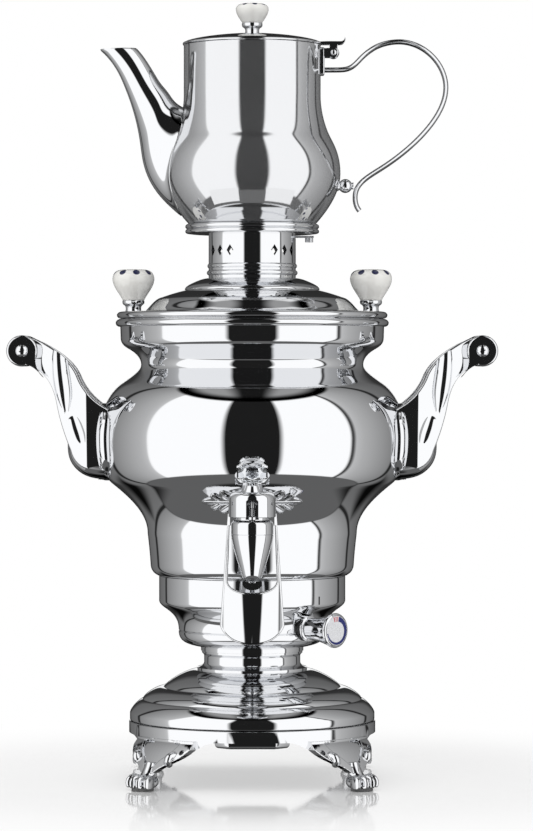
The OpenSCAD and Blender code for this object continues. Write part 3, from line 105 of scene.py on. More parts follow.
@dataclass
class Outline:
    """A chain of straight and curved stretches in a plane, in millimetres.

    Attributes:
        points: The points of the outline in order, the first of them its start.
    """

    points: list[Point]

    def line(self, *ends: Point) -> Outline:
        """Add straight stretches to the given points."""
        self.points.extend(ends)
        return self

    def curve(self, near: Point, far: Point, end: Point, steps: int = 10) -> Outline:
        """Add a cubic stretch.

        Args:
            near: The handle next to the last point.
            far: The handle next to the end.
            end: Where the stretch ends.
            steps: How many points it gets.

        Returns:
            The outline itself.
        """
        start = self.points[-1]
        for i in range(1, steps + 1):
            t = i / steps
            u = 1 - t
            weights = (u**3, 3 * u * u * t, 3 * u * t * t, t**3)
            corners = (start, near, far, end)
            self.points.append(tuple(sum(w * p[k] for w, p in zip(weights, corners)) for k in range(2)))
        return self

    def ogee(self, end: Point, turn: Point, slope: float, pull: tuple[float, ...],
             steps: int = 12) -> Outline:
        """Add an S curve between two upright ends.

        Args:
            end: Where the curve ends.
            turn: Where it turns, as fractions of its width and height.
            slope: The slope at the turn over the mean slope.
            pull: The lengths of the four handles, as fractions.
            steps: How many points each half gets.

        Returns:
            The outline itself.
        """
        (x, y), (far, top) = self.points[-1], end
        wide, high = far - x, top - y
        mid_x, mid_y, lean = x + turn[0] * wide, y + turn[1] * high, slope * wide
        self.curve((x, y + pull[0] * high), (mid_x - pull[1] * lean, mid_y - pull[1] * high),
                   (mid_x, mid_y), steps)
        return self.curve((mid_x + pull[2] * lean, mid_y + pull[2] * high), (far, top - pull[3] * high),
                          end, steps)

    def roll(self, end: Point, sag: float, steps: int = 10) -> Outline:
        """Add a rounded roll that stands proud of the straight way by sag.

        Args:
            end: Where the roll ends.
            sag: How far it stands proud.
            steps: How many points it gets.

        Returns:
            The outline itself.
        """
        (x, y), (far, top) = self.points[-1], end
        wide, high = far - x, top - y
        push = sag * 4 / 3 / math.hypot(wide, high)
        return self.curve((x + 0.2 * wide + high * push, y + 0.2 * high - wide * push),
                          (far - 0.2 * wide + high * push, top - 0.2 * high - wide * push), end, steps)

    def arc(self, centre: Point, radius: float, start: float, end: float, steps: int = 12) -> Outline:
        """Add an arc between two angles in degrees.

        Args:
            centre: The arc's centre.
            radius: Its radius.
            start: The angle of its first point.
            end: The angle of its last point.
            steps: How many steps it has.

        Returns:
            The outline itself.
        """
        for i in range(steps + 1):
            around = math.radians(start + (end - start) * i / steps)
            self.points.append((centre[0] + radius * math.cos(around), centre[1] + radius * math.sin(around)))
        return self

    def beside(self, distance: float) -> Outline:
        """Return the outline moved to its left by a distance.

        Args:
            distance: How far it moves.

        Returns:
            The moved outline.
        """
        moved = []
        last = len(self.points) - 1
        for i, (x, y) in enumerate(self.points):
            before, after = self.points[max(i - 1, 0)], self.points[min(i + 1, last)]
            run = Vector((after[0] - before[0], after[1] - before[1])).normalized()
            moved.append((x - run.y * distance, y + run.x * distance))
        return Outline(moved)

    def mirrored(self) -> Outline:
        """Return the outline closed by its mirror image across the upright axis."""
        return Outline(self.points + [(-x, y) for x, y in reversed(self.points) if abs(x) > 1e-6])

    def radius_at(self, height: float) -> float:
        """Return the first coordinate where the outline passes a height.

        Args:
            height: The second coordinate to look for.

        Returns:
            The first coordinate there, or at the end if the outline never passes the height.
        """
        for (r0, z0), (r1, z1) in zip(self.points, self.points[1:]):
            if min(z0, z1) <= height <= max(z0, z1) and z0 != z1:
                return r0 + (r1 - r0) * (height - z0) / (z1 - z0)
        return self.points[-1][0]


# ---- bench tools


def activate(*objs: Piece) -> None:
    """Select these objects alone, the first of them active.

    Args:
        objs: The objects to select.
    """
    bpy.ops.object.select_all(action="DESELECT")
    for obj in objs:
        obj.select_set(True)
    bpy.context.view_layer.objects.active = objs[0]


@contextmanager
def editing(obj: Piece) -> Iterator[None]:
    """Hold a piece in edit mode with all of it selected.

    Args:
        obj: The piece to edit.

    Returns:
        The hold, for a with statement.
    """
    activate(obj)
    bpy.ops.object.mode_set(mode="EDIT")
    bpy.ops.mesh.select_all(action="SELECT")
    yield
    bpy.ops.object.mode_set(mode="OBJECT")


def outward(obj: Piece) -> Piece:
    """Merge a piece's doubles and turn its faces outwards.

    Args:
        obj: The piece.

    Returns:
        The piece.
    """
    with editing(obj):
        bpy.ops.mesh.remove_doubles(threshold=0.002 * MM)
        bpy.ops.mesh.normals_make_consistent(inside=False)
    return obj


def modify(obj: Piece, kind: str, **settings: object) -> Piece:
    """Add a modifier with its settings and apply it.

    Args:
        obj: The piece.
        kind: The modifier's type.
        settings: Its settings by name.

    Returns:
        The piece.
    """
    activate(obj)
    bpy.ops.object.modifier_add(type=kind)
    added = obj.modifiers[-1]
    for name, value in settings.items():
        setattr(added, name, value)
    bpy.ops.object.modifier_apply(modifier=added.name)
    return obj


def place(obj: Piece, matrix: Matrix) -> Piece:
    """Move a piece by a matrix and apply its place to its mesh.

    Args:
        obj: The piece.
        matrix: Where it goes.

    Returns:
        The piece.
    """
    obj.matrix_world = matrix
    activate(obj)
    bpy.ops.object.transform_apply(location=True, rotation=True, scale=True)
    return obj


def shift(x: float = 0, y: float = 0, z: float = 0) -> Matrix:
    """Return a move in millimetres."""
    return Matrix.Translation((x * MM, y * MM, z * MM))


def turn(degrees: float, axis: str) -> Matrix:
    """Return a turn about an axis."""
    return Matrix.Rotation(math.radians(degrees), 4, axis)


def stretch(x: float, y: float, z: float) -> Matrix:
    """Return a stretch along the three axes."""
    return Matrix.Diagonal((x, y, z, 1))


# Stands a flat outline up: its second coordinate becomes the height, its thickness points forwards.
UPRIGHT = turn(90, "X")
# Turns a part made along +Z to point forwards, to the right or backwards.
FORWARDS = turn(90, "X")
SIDEWAYS = turn(90, "Y")
BACKWARDS = turn(-90, "X")
# Stands a flat outline up to be seen from the right, its thickness along +X.
ACROSS = turn(90, "Z") @ turn(90, "X")


def path(points: Sequence[Sequence[float]], kind: str) -> Piece:
    """Lay a curve through points in millimetres.

    Args:
        points: The points in order.
        kind: The spline's kind: POLY for straight stretches, NURBS for a smooth line.

    Returns:
        The curve, with one spline.
    """
    bpy.ops.object.select_all(action="DESELECT")
    bpy.ops.curve.primitive_bezier_curve_add()
    obj = bpy.context.object
    obj.data.dimensions = "3D"
    obj.data.splines.clear()
    spline = obj.data.splines.new(kind)
    spline.points.add(len(points) - 1)
    for knot, point in zip(spline.points, points):
        knot.co = (*(MM * value for value in point), 1)
    return obj


def meshed(obj: Piece, name: str) -> Piece:
    """Turn a curve into a mesh.

    Args:
        obj: The curve.
        name: The mesh piece's name.

    Returns:
        The piece.
    """
    activate(obj)
    bpy.ops.object.convert(target="MESH")
    bpy.context.object.name = name
    return bpy.context.object


def wire(name: str, points: Sequence[Sequence[float]], closed: bool = False) -> Piece:
    """Lay a wire mesh through points in millimetres.

    Args:
        name: The piece's name.
        points: The points in order.
        closed: Whether the last point joins the first.

    Returns:
        The piece.
    """
    obj = path(points, "POLY")
    obj.data.splines[0].use_cyclic_u = closed
    return meshed(obj, name)


def spin(name: str, outline: Outline, steps: int = 96, thickness: float = 0, closed: bool = False,
         sweep: float = 360) -> Piece:
    """Turn an outline of radii and heights about the upright axis.

    Args:
        name: The piece's name.
        outline: The outline, with its radii first.
        steps: How many steps the turn has.
        thickness: The wall that it gets on its inner side, in millimetres.
        closed: Whether the outline closes on itself.
        sweep: The angle of the turn in degrees.

    Returns:
        The piece.
    """
    obj = wire(name, [(r, 0, z) for r, z in outline.points], closed)
    with editing(obj):
        bpy.ops.mesh.spin(steps=steps, angle=-math.radians(sweep), center=(0, 0, 0), axis=(0, 0, 1))
    outward(obj)
    if thickness:
        modify(obj, "SOLIDIFY", thickness=thickness * MM, offset=-1, use_even_offset=True)
    return obj


def capped(obj: Piece) -> Piece:
    """Close the open ends of a part turn.

    Args:
        obj: The piece.

    Returns:
        The closed piece.
    """
    with editing(obj):
        bpy.ops.mesh.select_all(action="DESELECT")
        bpy.ops.mesh.select_mode(type="EDGE")
        bpy.ops.mesh.select_non_manifold()
        bpy.ops.mesh.fill_holes(sides=0)
    return outward(obj)


def prism(name: str, outline: Outline, low: float, high: float) -> Piece:
    """Raise a closed flat outline between two heights, in millimetres.

    Args:
        name: The piece's name.
        outline: Its outline, seen from above.
        low: The height of its underside.
        high: The height of its top.

    Returns:
        The piece.
    """
    obj = wire(name, [(x, y, low) for x, y in outline.points], closed=True)
    with editing(obj):
        bpy.ops.mesh.edge_face_add()
        bpy.ops.mesh.extrude_region_move(TRANSFORM_OT_translate={"value": (0, 0, (high - low) * MM)})
    return outward(obj)


def rod(name: str, points: Sequence[Place], radii: Sequence[float] | float,
        sides: int = 6) -> Piece:
    """Draw a round rod through points in millimetres.

    Args:
        name: The piece's name.
        points: The points of its middle line.
        radii: One radius, or one for each point.
        sides: The resolution of a quarter of its section.

    Returns:
        The piece.
    """
    obj = path(points, "NURBS")
    spline = obj.data.splines[0]
    spline.use_endpoint_u = True
    spline.order_u = 4
    spline.resolution_u = 6
    even = isinstance(radii, (int, float))
    for knot, radius in zip(spline.points, [1] * len(points) if even else radii):
        knot.radius = radius
    obj.data.bevel_depth = (radii if even else 1) * MM
    obj.data.bevel_resolution = sides
    obj.data.use_fill_caps = True
    return outward(meshed(obj, name))


def bead(name: str, sizes: Place, centre: Place, segments: int = 32) -> Piece:
    """Add an egg shape of three radii at a place.

    Args:
        name: The piece's name.
        sizes: Its radii along the three axes.
        centre: Its middle.
        segments: How many faces go round it.

    Returns:
        The piece.
    """
    bpy.ops.object.select_all(action="DESELECT")
    bpy.ops.mesh.primitive_uv_sphere_add(segments=segments, ring_count=segments // 2, radius=MM)
    obj = bpy.context.object
    obj.name = name
    return place(obj, shift(*centre) @ stretch(*sizes))


def join(*objs: Piece) -> Piece:
    """Join pieces into the first of them.

    Args:
        objs: The pieces.

    Returns:
        The first of them, with all their meshes.
    """
    if len(objs) > 1:
        activate(*objs)
        bpy.ops.object.join()
    return objs[0]


def combine(kind: str, obj: Piece, *tools: Piece) -> Piece:
    """Cut, fuse or keep a piece by other solids, which are used up.

    Args:
        kind: DIFFERENCE, UNION or INTERSECT.
        obj: The piece.
        tools: The other solids.

    Returns:
        The piece.
    """
    tool = join(*tools)
    modify(obj, "BOOLEAN", operation=kind, object=tool, solver="EXACT", use_self=len(tools) > 1)
    bpy.data.objects.remove(tool, do_unlink=True)
    return obj


def copy_of(obj: Piece, name: str, matrix: Matrix) -> Piece:
    """Copy a piece with its own mesh and move the copy.

    Args:
        obj: The piece.
        name: The copy's name.
        matrix: Where the copy goes.

    Returns:
        The copy, its faces pointing outwards.
    """
    twin = obj.copy()
    twin.data = obj.data.copy()
    twin.name = name
    bpy.context.collection.objects.link(twin)
    place(twin, matrix)
    if matrix.determinant() < 0:
        with editing(twin):
            bpy.ops.mesh.normals_make_consistent(inside=False)
    return twin


def cast(obj: Piece, grain: float, smoothing: int) -> Piece:
    """Melt joined solids into one casting.

    Args:
        obj: The joined solids.
        grain: The size of the new mesh's cells in millimetres.
        smoothing: How many times the skin is smoothed.

    Returns:
        The casting.
    """
    activate(obj)
    obj.data.remesh_voxel_size = grain * MM
    bpy.ops.object.voxel_remesh()
    return modify(obj, "SMOOTH", factor=0.5, iterations=smoothing)


def soften(obj: Piece, width: float, segments: int = 2, angle: float = 35,
           clamp: bool = True) -> Piece:
    """Round a piece's sharp edges by a width in millimetres."""
    return modify(obj, "BEVEL", width=width * MM, segments=segments, limit_method="ANGLE",
                  angle_limit=math.radians(angle), use_clamp_overlap=clamp)


def hand_over(obj: Piece, finish: Finish, body: Body, *nodes: str, angle: float = 32) -> None:
    """Smooth a finished piece, dress it and set it on its body.

    Args:
        obj: The piece.
        finish: What its surface is.
        body: The body it rides on.
        nodes: The solids of the frame that it stands for.
        angle: The steepest edge that is still smooth, in degrees.
    """
    activate(obj)
    bpy.ops.object.shade_smooth_by_angle(angle=math.radians(angle))
    obj.data.materials.clear()
    obj.data.materials.append(finish.material())
    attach(obj, body.value)
    if nodes:
        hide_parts(*nodes)
    log.info("%-22s %7d faces on %s", obj.name, len(obj.data.polygons), body.value)


# ---- finishes


def linear(code: str) -> Colour:
    """Turn an sRGB hex colour into linear light."""
    parts = [int(code.lstrip("#")[i:i + 2], 16) / 255 for i in (0, 2, 4)]
    return (*(c / 12.92 if c <= 0.04045 else ((c + 0.055) / 1.055) ** 2.4 for c in parts), 1.0)


def grey(level: float) -> Colour:
    """Return a neutral colour of a linear level."""
    return (level, level, level, 1.0)


def add_node(tree: Tree, kind: str, settings: dict[str, object] | None = None,
             inputs: dict[str | int, object] | None = None) -> Node:
    """Add a node with its settings and what goes into it.

    Args:
        tree: The tree that gets the node.
        kind: The node's type, without ShaderNode in front.
        settings: Its own settings by name.
        inputs: Its sockets by name or number: an output is linked, anything else is set.

    Returns:
        The node.
    """
    node = tree.nodes.new("ShaderNode" + kind)
    for name, value in (settings or {}).items():
        setattr(node, name, value)
    for key, value in (inputs or {}).items():
        if isinstance(value, Socket):
            tree.links.new(value, node.inputs[key])
        else:
            node.inputs[key].default_value = value
    return node


@dataclass(frozen=True)
class Finish:
    """What every finish shares.

    Attributes:
        name: The material's name.
        slot: The part's material slot that it fills.
        colour: Its sRGB colour.
        metallic: Whether it is a metal, from 0 to 1.
        roughness: How rough it is.
    """

    name: str
    slot: str
    colour: str
    metallic: float
    roughness: float

    def material(self) -> Material:
        """Return the finish's material, made on its first use.

        Returns:
            The material.
        """
        if self.name in bpy.data.materials:
            return bpy.data.materials[self.name]
        made = bpy.data.materials.new(self.name)
        made.use_nodes = True
        shader = made.node_tree.nodes["Principled BSDF"]
        shader.inputs["Base Color"].default_value = linear(self.colour)
        shader.inputs["Metallic"].default_value = self.metallic
        shader.inputs["Roughness"].default_value = self.roughness
        self.dress(made.node_tree, shader)
        return made

    def dress(self, tree: Tree, shader: Node) -> None:
        """Add what this finish has beyond a plain colour.

        Args:
            tree: The material's node tree.
            shader: Its Principled shader.
        """

    def texture(self, tree: Tree, pitch: float, levels: Point, detail: float = 3,
                squash: Place = (1, 1, 1)) -> tuple[Socket, Socket]:
        """Lay noise on the piece's own coordinates.

        Args:
            tree: The material's node tree.
            pitch: The noise's pitch in millimetres.
            levels: The levels that its middle range, from 0.3 to 0.7, is spread between.
            detail: How many finer octaves it has.
            squash: How much it is squeezed along each axis.

        Returns:
            The noise itself, and the noise spread between the levels.
        """
        where = add_node(tree, "TexCoord").outputs["Object"]
        mapped = add_node(tree, "Mapping", {}, {"Vector": where, "Scale": squash})
        noise = add_node(tree, "TexNoise", {},
                         {"Vector": mapped.outputs[0], "Scale": 1 / (pitch * MM), "Detail": detail})
        ramp = add_node(tree, "MapRange", {},
                        {"Value": noise.outputs["Fac"], "From Min": 0.3, "From Max": 0.7,
                         "To Min": levels[0], "To Max": levels[1]})
        return noise.outputs["Fac"], ramp.outputs[0]


@dataclass(frozen=True)
class MirrorSteel(Finish):
    """Mirror polished stainless steel and bright chromed castings.

    Buffing leaves hair-fine marks of about 0.4 mm pitch and wiped patches some 30 mm wide,
    which the eye sees only as a slight change of sharpness in the reflections.
    """

    patch: float = 30
    hair: float = 0.4

    def dress(self, tree: Tree, shader: Node) -> None:
        """Vary the roughness by wiped patches and fine buffing marks.

        Args:
            tree: The material's node tree.
            shader: Its Principled shader.
        """
        wiped = self.texture(tree, self.patch, (self.roughness * 0.6, self.roughness * 1.5))[1]
        hairs = self.texture(tree, self.hair, (-0.006, 0.012), 2, (0.15, 0.15, 1))[1]
        total = add_node(tree, "Math", {"operation": "ADD", "use_clamp": True}, {0: wiped, 1: hairs})
        tree.links.new(total.outputs[0], shader.inputs["Roughness"])


@dataclass(frozen=True)
class PlainSteel(Finish):
    """Plain zinc plated or brushed steel, drawn in one direction, with a soft blurred shine."""

    grain: float = 0.5

    def dress(self, tree: Tree, shader: Node) -> None:
        """Draw the grain as fine streaks in roughness and height.

        Args:
            tree: The material's node tree.
            shader: Its Principled shader.
        """
        levels = (self.roughness - 0.08, self.roughness + 0.1)
        streaks, rough = self.texture(tree, self.grain, levels, 3, (1, 1, 0.08))
        tree.links.new(rough, shader.inputs["Roughness"])
        bump = add_node(tree, "Bump", {}, {"Height": streaks, "Strength": 0.2, "Distance": 0.02 * MM})
        tree.links.new(bump.outputs[0], shader.inputs["Normal"])


@dataclass(frozen=True)
class Brass(Finish):
    """Bare turned brass, a little dulled by handling in patches a few millimetres wide."""

    patch: float = 4

    def dress(self, tree: Tree, shader: Node) -> None:
        """Darken the brass in soft patches.

        Args:
            tree: The material's node tree.
            shader: Its Principled shader.
        """
        tarnish = self.texture(tree, self.patch, (0, 1))[1]
        mix = add_node(tree, "Mix", {"data_type": "RGBA"},
                       {0: tarnish, 6: linear(self.colour), 7: linear("#8A6A34")})
        tree.links.new(mix.outputs[2], shader.inputs["Base Color"])


@dataclass(frozen=True)
class Moulded(Finish):
    """Moulded rubber or plastic with the fine spark-eroded grain of its mould."""

    grain: float = 0.3
    depth: float = 0.03

    def dress(self, tree: Tree, shader: Node) -> None:
        """Raise the grain and let it break up the shine.

        Args:
            tree: The material's node tree.
            shader: Its Principled shader.
        """
        levels = (self.roughness - 0.06, self.roughness + 0.08)
        grain, rough = self.texture(tree, self.grain, levels, 2)
        bump = add_node(tree, "Bump", {}, {"Height": grain, "Strength": 0.4, "Distance": self.depth * MM})
        tree.links.new(bump.outputs[0], shader.inputs["Normal"])
        tree.links.new(rough, shader.inputs["Roughness"])


@dataclass(frozen=True)
class DottedPorcelain(Finish):
    """White glazed porcelain with dark blue dots painted round the shoulder under the glaze.

    Attributes:
        centre: The middle of the knob in millimetres, about which the dots are set out.
        shoulder: The radius of the circle that the dots lie on.
        half_wide: Half of a dot's width.
        dots: How many dots go round.
        rise: How many degrees the dots stand over the middle.
        half_rise: Half of a dot's height in degrees.
        paint: The dots' sRGB colour.
    """

    centre: Place = (0, 0, 0)
    shoulder: float = 11
    half_wide: float = 2.1
    dots: int = 8
    rise: float = 38
    half_rise: float = 9
    paint: str = "#1B2048"

    def dress(self, tree: Tree, shader: Node) -> None:
        """Paint the dots and add the glassy glaze.

        Args:
            tree: The material's node tree.
            shader: Its Principled shader.
        """
        where = add_node(tree, "TexCoord").outputs["Object"]
        local = add_node(tree, "Mapping", {},
                         {"Vector": where, "Location": tuple(-MM * value for value in self.centre)})
        axes = add_node(tree, "SeparateXYZ", {}, {0: local.outputs[0]})
        angle = add_node(tree, "Math", {"operation": "ARCTAN2"}, {0: axes.outputs["Y"], 1: axes.outputs["X"]})
        turns = add_node(tree, "Math", {"operation": "MULTIPLY_ADD"},
                         {0: angle.outputs[0], 1: self.dots / math.tau, 2: 0.25})
        part = add_node(tree, "Math", {"operation": "FRACT"}, {0: turns.outputs[0]})
        pitch = math.tau * self.shoulder / self.dots
        across = add_node(tree, "Math", {"operation": "MULTIPLY_ADD"},
                          {0: part.outputs[0], 1: pitch / self.half_wide, 2: -0.5 * pitch / self.half_wide})
        flat = add_node(tree, "CombineXYZ", {}, {0: axes.outputs["X"], 1: axes.outputs["Y"]})
        reach = add_node(tree, "VectorMath", {"operation": "LENGTH"}, {0: flat.outputs[0]})
        tilt = add_node(tree, "Math", {"operation": "ARCTAN2"},
                        {0: axes.outputs["Z"], 1: reach.outputs["Value"]})
        up = add_node(tree, "Math", {"operation": "MULTIPLY_ADD"},
                      {0: tilt.outputs[0], 1: 1 / math.radians(self.half_rise),
                       2: -self.rise / self.half_rise})
        both = add_node(tree, "CombineXYZ", {}, {0: across.outputs[0], 1: up.outputs[0]})
        away = add_node(tree, "VectorMath", {"operation": "LENGTH"}, {0: both.outputs[0]})
        edge = add_node(tree, "MapRange", {"clamp": True},
                        {"Value": away.outputs["Value"], "From Min": 0.9, "From Max": 1.1,
                         "To Min": 1, "To Max": 0})
        mix = add_node(tree, "Mix", {"data_type": "RGBA"},
                       {0: edge.outputs[0], 6: linear(self.colour), 7: linear(self.paint)})
        tree.links.new(mix.outputs[2], shader.inputs["Base Color"])
        shader.inputs["Coat Weight"].default_value = 0.6
        shader.inputs["Coat Roughness"].default_value = 0.03


@dataclass(frozen=True)
class Crystal(Finish):
    """Cut lead crystal: clear, polished on every facet, with a high refractive index."""

    def dress(self, tree: Tree, shader: Node) -> None:
        """Make the body clear.

        Args:
            tree: The material's node tree.
            shader: Its Principled shader.
        """
        shader.inputs["Transmission Weight"].default_value = 1.0
        shader.inputs["IOR"].default_value = 1.55


@dataclass(frozen=True)
class PrintedDisc(Finish):
    """A satin aluminium-look disc printed with a tapering dark blue band and three red ticks.

    Attributes:
        centre: The middle of the disc in millimetres.
        radius: The disc's radius.
        ink: The band's sRGB colour.
        tick: The ticks' sRGB colour.
    """

    centre: Place = (0, 0, 0)
    radius: float = 9.5
    ink: str = "#1D276C"
    tick: str = "#C4505A"

    def dress(self, tree: Tree, shader: Node) -> None:
        """Print the band and the ticks by the angle round the disc.

        Args:
            tree: The material's node tree.
            shader: Its Principled shader.
        """
        where = add_node(tree, "TexCoord").outputs["Object"]
        local = add_node(tree, "Mapping", {"vector_type": "TEXTURE"},
                         {"Vector": where, "Location": tuple(MM * value for value in self.centre),
                          "Rotation": (0, 0, math.radians(-45))})
        axes = add_node(tree, "SeparateXYZ", {}, {0: local.outputs[0]})
        flat = add_node(tree, "CombineXYZ", {}, {0: axes.outputs["Y"], 1: axes.outputs["Z"]})
        away = add_node(tree, "VectorMath", {"operation": "LENGTH"}, {0: flat.outputs[0]}).outputs["Value"]
        angle = add_node(tree, "Math", {"operation": "ARCTAN2"}, {0: axes.outputs["Y"], 1: axes.outputs["Z"]})
        turns = add_node(tree, "Math", {"operation": "MULTIPLY_ADD"},
                         {0: angle.outputs[0], 1: 1 / math.tau, 2: 1.07})
        share = add_node(tree, "Math", {"operation": "FRACT"}, {0: turns.outputs[0]}).outputs[0]
        inks = add_node(tree, "ValToRGB", {}, {0: share})
        inks.color_ramp.interpolation = "CONSTANT"
        inks.color_ramp.elements.remove(inks.color_ramp.elements[1])
        stops = ((0.0, self.colour), (0.011, self.tick), (0.029, self.colour), (0.043, self.tick),
                 (0.061, self.colour), (0.075, self.tick), (0.093, self.colour), (0.102, self.ink),
                 (0.79, self.colour))
        for i, (start, code) in enumerate(stops):
            stop = inks.color_ramp.elements[0] if i == 0 else inks.color_ramp.elements.new(start)
            stop.color = linear(code)
        inner = add_node(tree, "MapRange", {},
                         {"Value": share, "From Min": 0.1, "From Max": 0.79,
                          "To Min": 0.61 * self.radius * MM, "To Max": 0.86 * self.radius * MM})
        outside = add_node(tree, "Math", {"operation": "GREATER_THAN"}, {0: away, 1: inner.outputs[0]})
        rim = add_node(tree, "Math", {"operation": "LESS_THAN"}, {0: away, 1: 0.95 * self.radius * MM})
        band = add_node(tree, "Math", {"operation": "MULTIPLY"}, {0: outside.outputs[0], 1: rim.outputs[0]})
        printed = add_node(tree, "Mix", {"data_type": "RGBA"},
                           {0: band.outputs[0], 6: linear(self.colour), 7: inks.outputs[0]})
        tree.links.new(printed.outputs[2], shader.inputs["Base Color"])


MIRROR = MirrorSteel("mirror_steel", "polished_steel", "#E6E7E9", 1.0, 0.02)
SOFT_MIRROR = MirrorSteel("buffed_steel", "polished_steel", "#DFE0E2", 0.93, 0.06)
PLAIN = PlainSteel("plain_steel", "plain_steel", "#B9BBBE", 1.0, 0.3)
BRASS = Brass("turned_brass", "brass", "#C9A35A", 1.0, 0.25)
FOOT_RUBBER = Moulded("foot_rubber", "foot_rubber", "#232323", 0.0, 0.75)
SEAL_RUBBER = Moulded("silicone_rubber", "seal_rubber", "#9E3A30", 0.0, 0.5)
DARK_PLASTIC = Moulded("heat_plastic", "dark_plastic", "#19191B", 0.0, 0.38)
STEATITE = Moulded("unglazed_steatite", "terminal_ceramic", "#DBD6C7", 0.0, 0.7)
CRYSTAL = Crystal("cut_crystal", "crystal", "#FBFDFF", 0.0, 0.0)


# ---- studio


@dataclass
class Studio:
    """The camera, the floor and the light.

    The world shows a white ground to the camera and an even soft light to everything but mirrors.
    Mirrors see two tall soft boxes beside a dark gap at the camera, and grey walls that fall off.

    The camera's distance and height and the floor's radius are in metres, the lens and the cards in
    millimetres, and the walls give the mirrors' room by degrees from the front and level.
    """

    distance: float = 2.322
    height: float = 0.2696
    lens: float = 155.96
    shift_x: float = 0.0172
    shift_y: float = -0.0668
    floor_r: float = 3.0
    box_light: float = 1.22
    ambient: float = 0.98
    key: float = 3.0
    card_light: float = 1.12
    card_z: float = 302.0
    card_r: Point = (92.0, 150.0)
    card_sweep: float = 39.0
    card_turn: float = 36.5
    walls: tuple[Point, ...] = (
        (-180, 0.02), (-166, 0.03), (-159, 0.12), (-137, 0.16), (-135.5, 0.02), (-132, 0.02), (-130, 0.22),
        (-110, 0.33), (-92, 0.44), (-86, 0.52), (-84, 1.0), (-24, 1.0), (-20, 0.012), (20, 0.012),
        (24, 1.0), (78, 1.0), (80, 0.06), (82, 0.06), (84, 0.5), (92, 0.42), (110, 0.32), (130, 0.22),
        (132, 0.02), (135.5, 0.02), (137, 0.16), (159, 0.11), (166, 0.03), (180, 0.02))

    def place_camera(self) -> None:
        """Set the camera level, straight in front of the tap."""
        bpy.ops.object.camera_add(location=(0, -self.distance, self.height), rotation=(math.pi / 2, 0, 0))
        camera = bpy.context.object
        camera.data.sensor_fit = "VERTICAL"
        camera.data.sensor_height = 36
        camera.data.lens = self.lens
        camera.data.shift_x = self.shift_x
        camera.data.shift_y = self.shift_y
        bpy.context.scene.camera = camera

    def lay_floor(self) -> None:
        """Lay the pale floor, which fades into the white ground far from the object."""
        bpy.ops.object.select_all(action="DESELECT")
        bpy.ops.mesh.primitive_circle_add(vertices=96, radius=self.floor_r, fill_type="NGON")
        floor = bpy.context.object
        floor.name = "floor"
        made = bpy.data.materials.new("pale_floor")
        made.use_nodes = True
        tree = made.node_tree
        where = add_node(tree, "TexCoord").outputs["Object"]
        away = add_node(tree, "VectorMath", {"operation": "LENGTH"}, {0: where}).outputs["Value"]
        seen = add_node(tree, "LightPath").outputs["Is Camera Ray"]
        matt = add_node(tree, "BsdfDiffuse", {}, {"Color": grey(0.93)})
        shine = add_node(tree, "BsdfGlossy", {}, {"Color": grey(1.0), "Roughness": 0.06})
        polish = self.shade(tree, (away, 0.1, 0.26, 0.5, 0.14))
        lacquer = add_node(tree, "MixShader", {}, {0: polish, 1: matt.outputs[0], 2: shine.outputs[0]})
        white = add_node(tree, "Emission", {}, {"Color": grey(1.0), "Strength": 1.0})
        share = self.fold(tree, "MULTIPLY", self.shade(tree, (away, 0.14, 0.37, 0, 1)), seen)
        mix = add_node(tree, "MixShader", {}, {0: share, 1: lacquer.outputs[0], 2: white.outputs[0]})
        tree.links.new(mix.outputs[0], tree.nodes["Material Output"].inputs["Surface"])
        floor.data.materials.append(made)
        floor.visible_glossy = False

    def lay_cards(self) -> None:
        """Hold a white card at each side of the lid to fill the teapot's shade.

        Only mirrors see the cards, and only from above, because their undersides are clear.
        """
        glow = bpy.data.materials.new("white_card")
        glow.use_nodes = True
        tree = glow.node_tree
        light = add_node(tree, "Emission", {}, {"Color": grey(1.0), "Strength": self.card_light})
        clear = add_node(tree, "BsdfTransparent")
        under = add_node(tree, "NewGeometry").outputs["Backfacing"]
        mix = add_node(tree, "MixShader", {}, {0: under, 1: light.outputs[0], 2: clear.outputs[0]})
        tree.links.new(mix.outputs[0], tree.nodes["Material Output"].inputs["Surface"])
        near, far = self.card_r
        for side in (-1, 1):
            card = spin("card", Outline([(far, self.card_z), (near, self.card_z)]), 24, sweep=self.card_sweep)
            place(card, turn(-90 + side * self.card_turn - self.card_sweep / 2, "Z"))
            card.data.materials.append(glow)
            card.visible_camera = card.visible_diffuse = False
            card.visible_shadow = card.visible_transmission = False

    def fold(self, tree: Tree, operation: str, *levels: Socket) -> Socket:
        """Fold several levels into one.

        Args:
            tree: The node tree.
            operation: MULTIPLY for their product, MAXIMUM for the brightest of them.
            levels: The levels.

        Returns:
            The level that comes out.
        """
        made = levels[0]
        for level in levels[1:]:
            made = add_node(tree, "Math", {"operation": operation}, {0: made, 1: level}).outputs[0]
        return made

    def shade(self, tree: Tree, *edges: tuple) -> Socket:
        """Multiply soft edges of one or more values.

        Args:
            tree: The node tree.
            edges: For each edge the value's socket, where it starts and ends, and the levels there.

        Returns:
            The product.
        """
        steps = []
        for value, start, end, low, high in edges:
            step = add_node(tree, "MapRange", {"interpolation_type": "SMOOTHSTEP"},
                            {"Value": value, "From Min": start, "From Max": end,
                             "To Min": low, "To Max": high})
            steps.append(step.outputs[0])
        return self.fold(tree, "MULTIPLY", *steps)

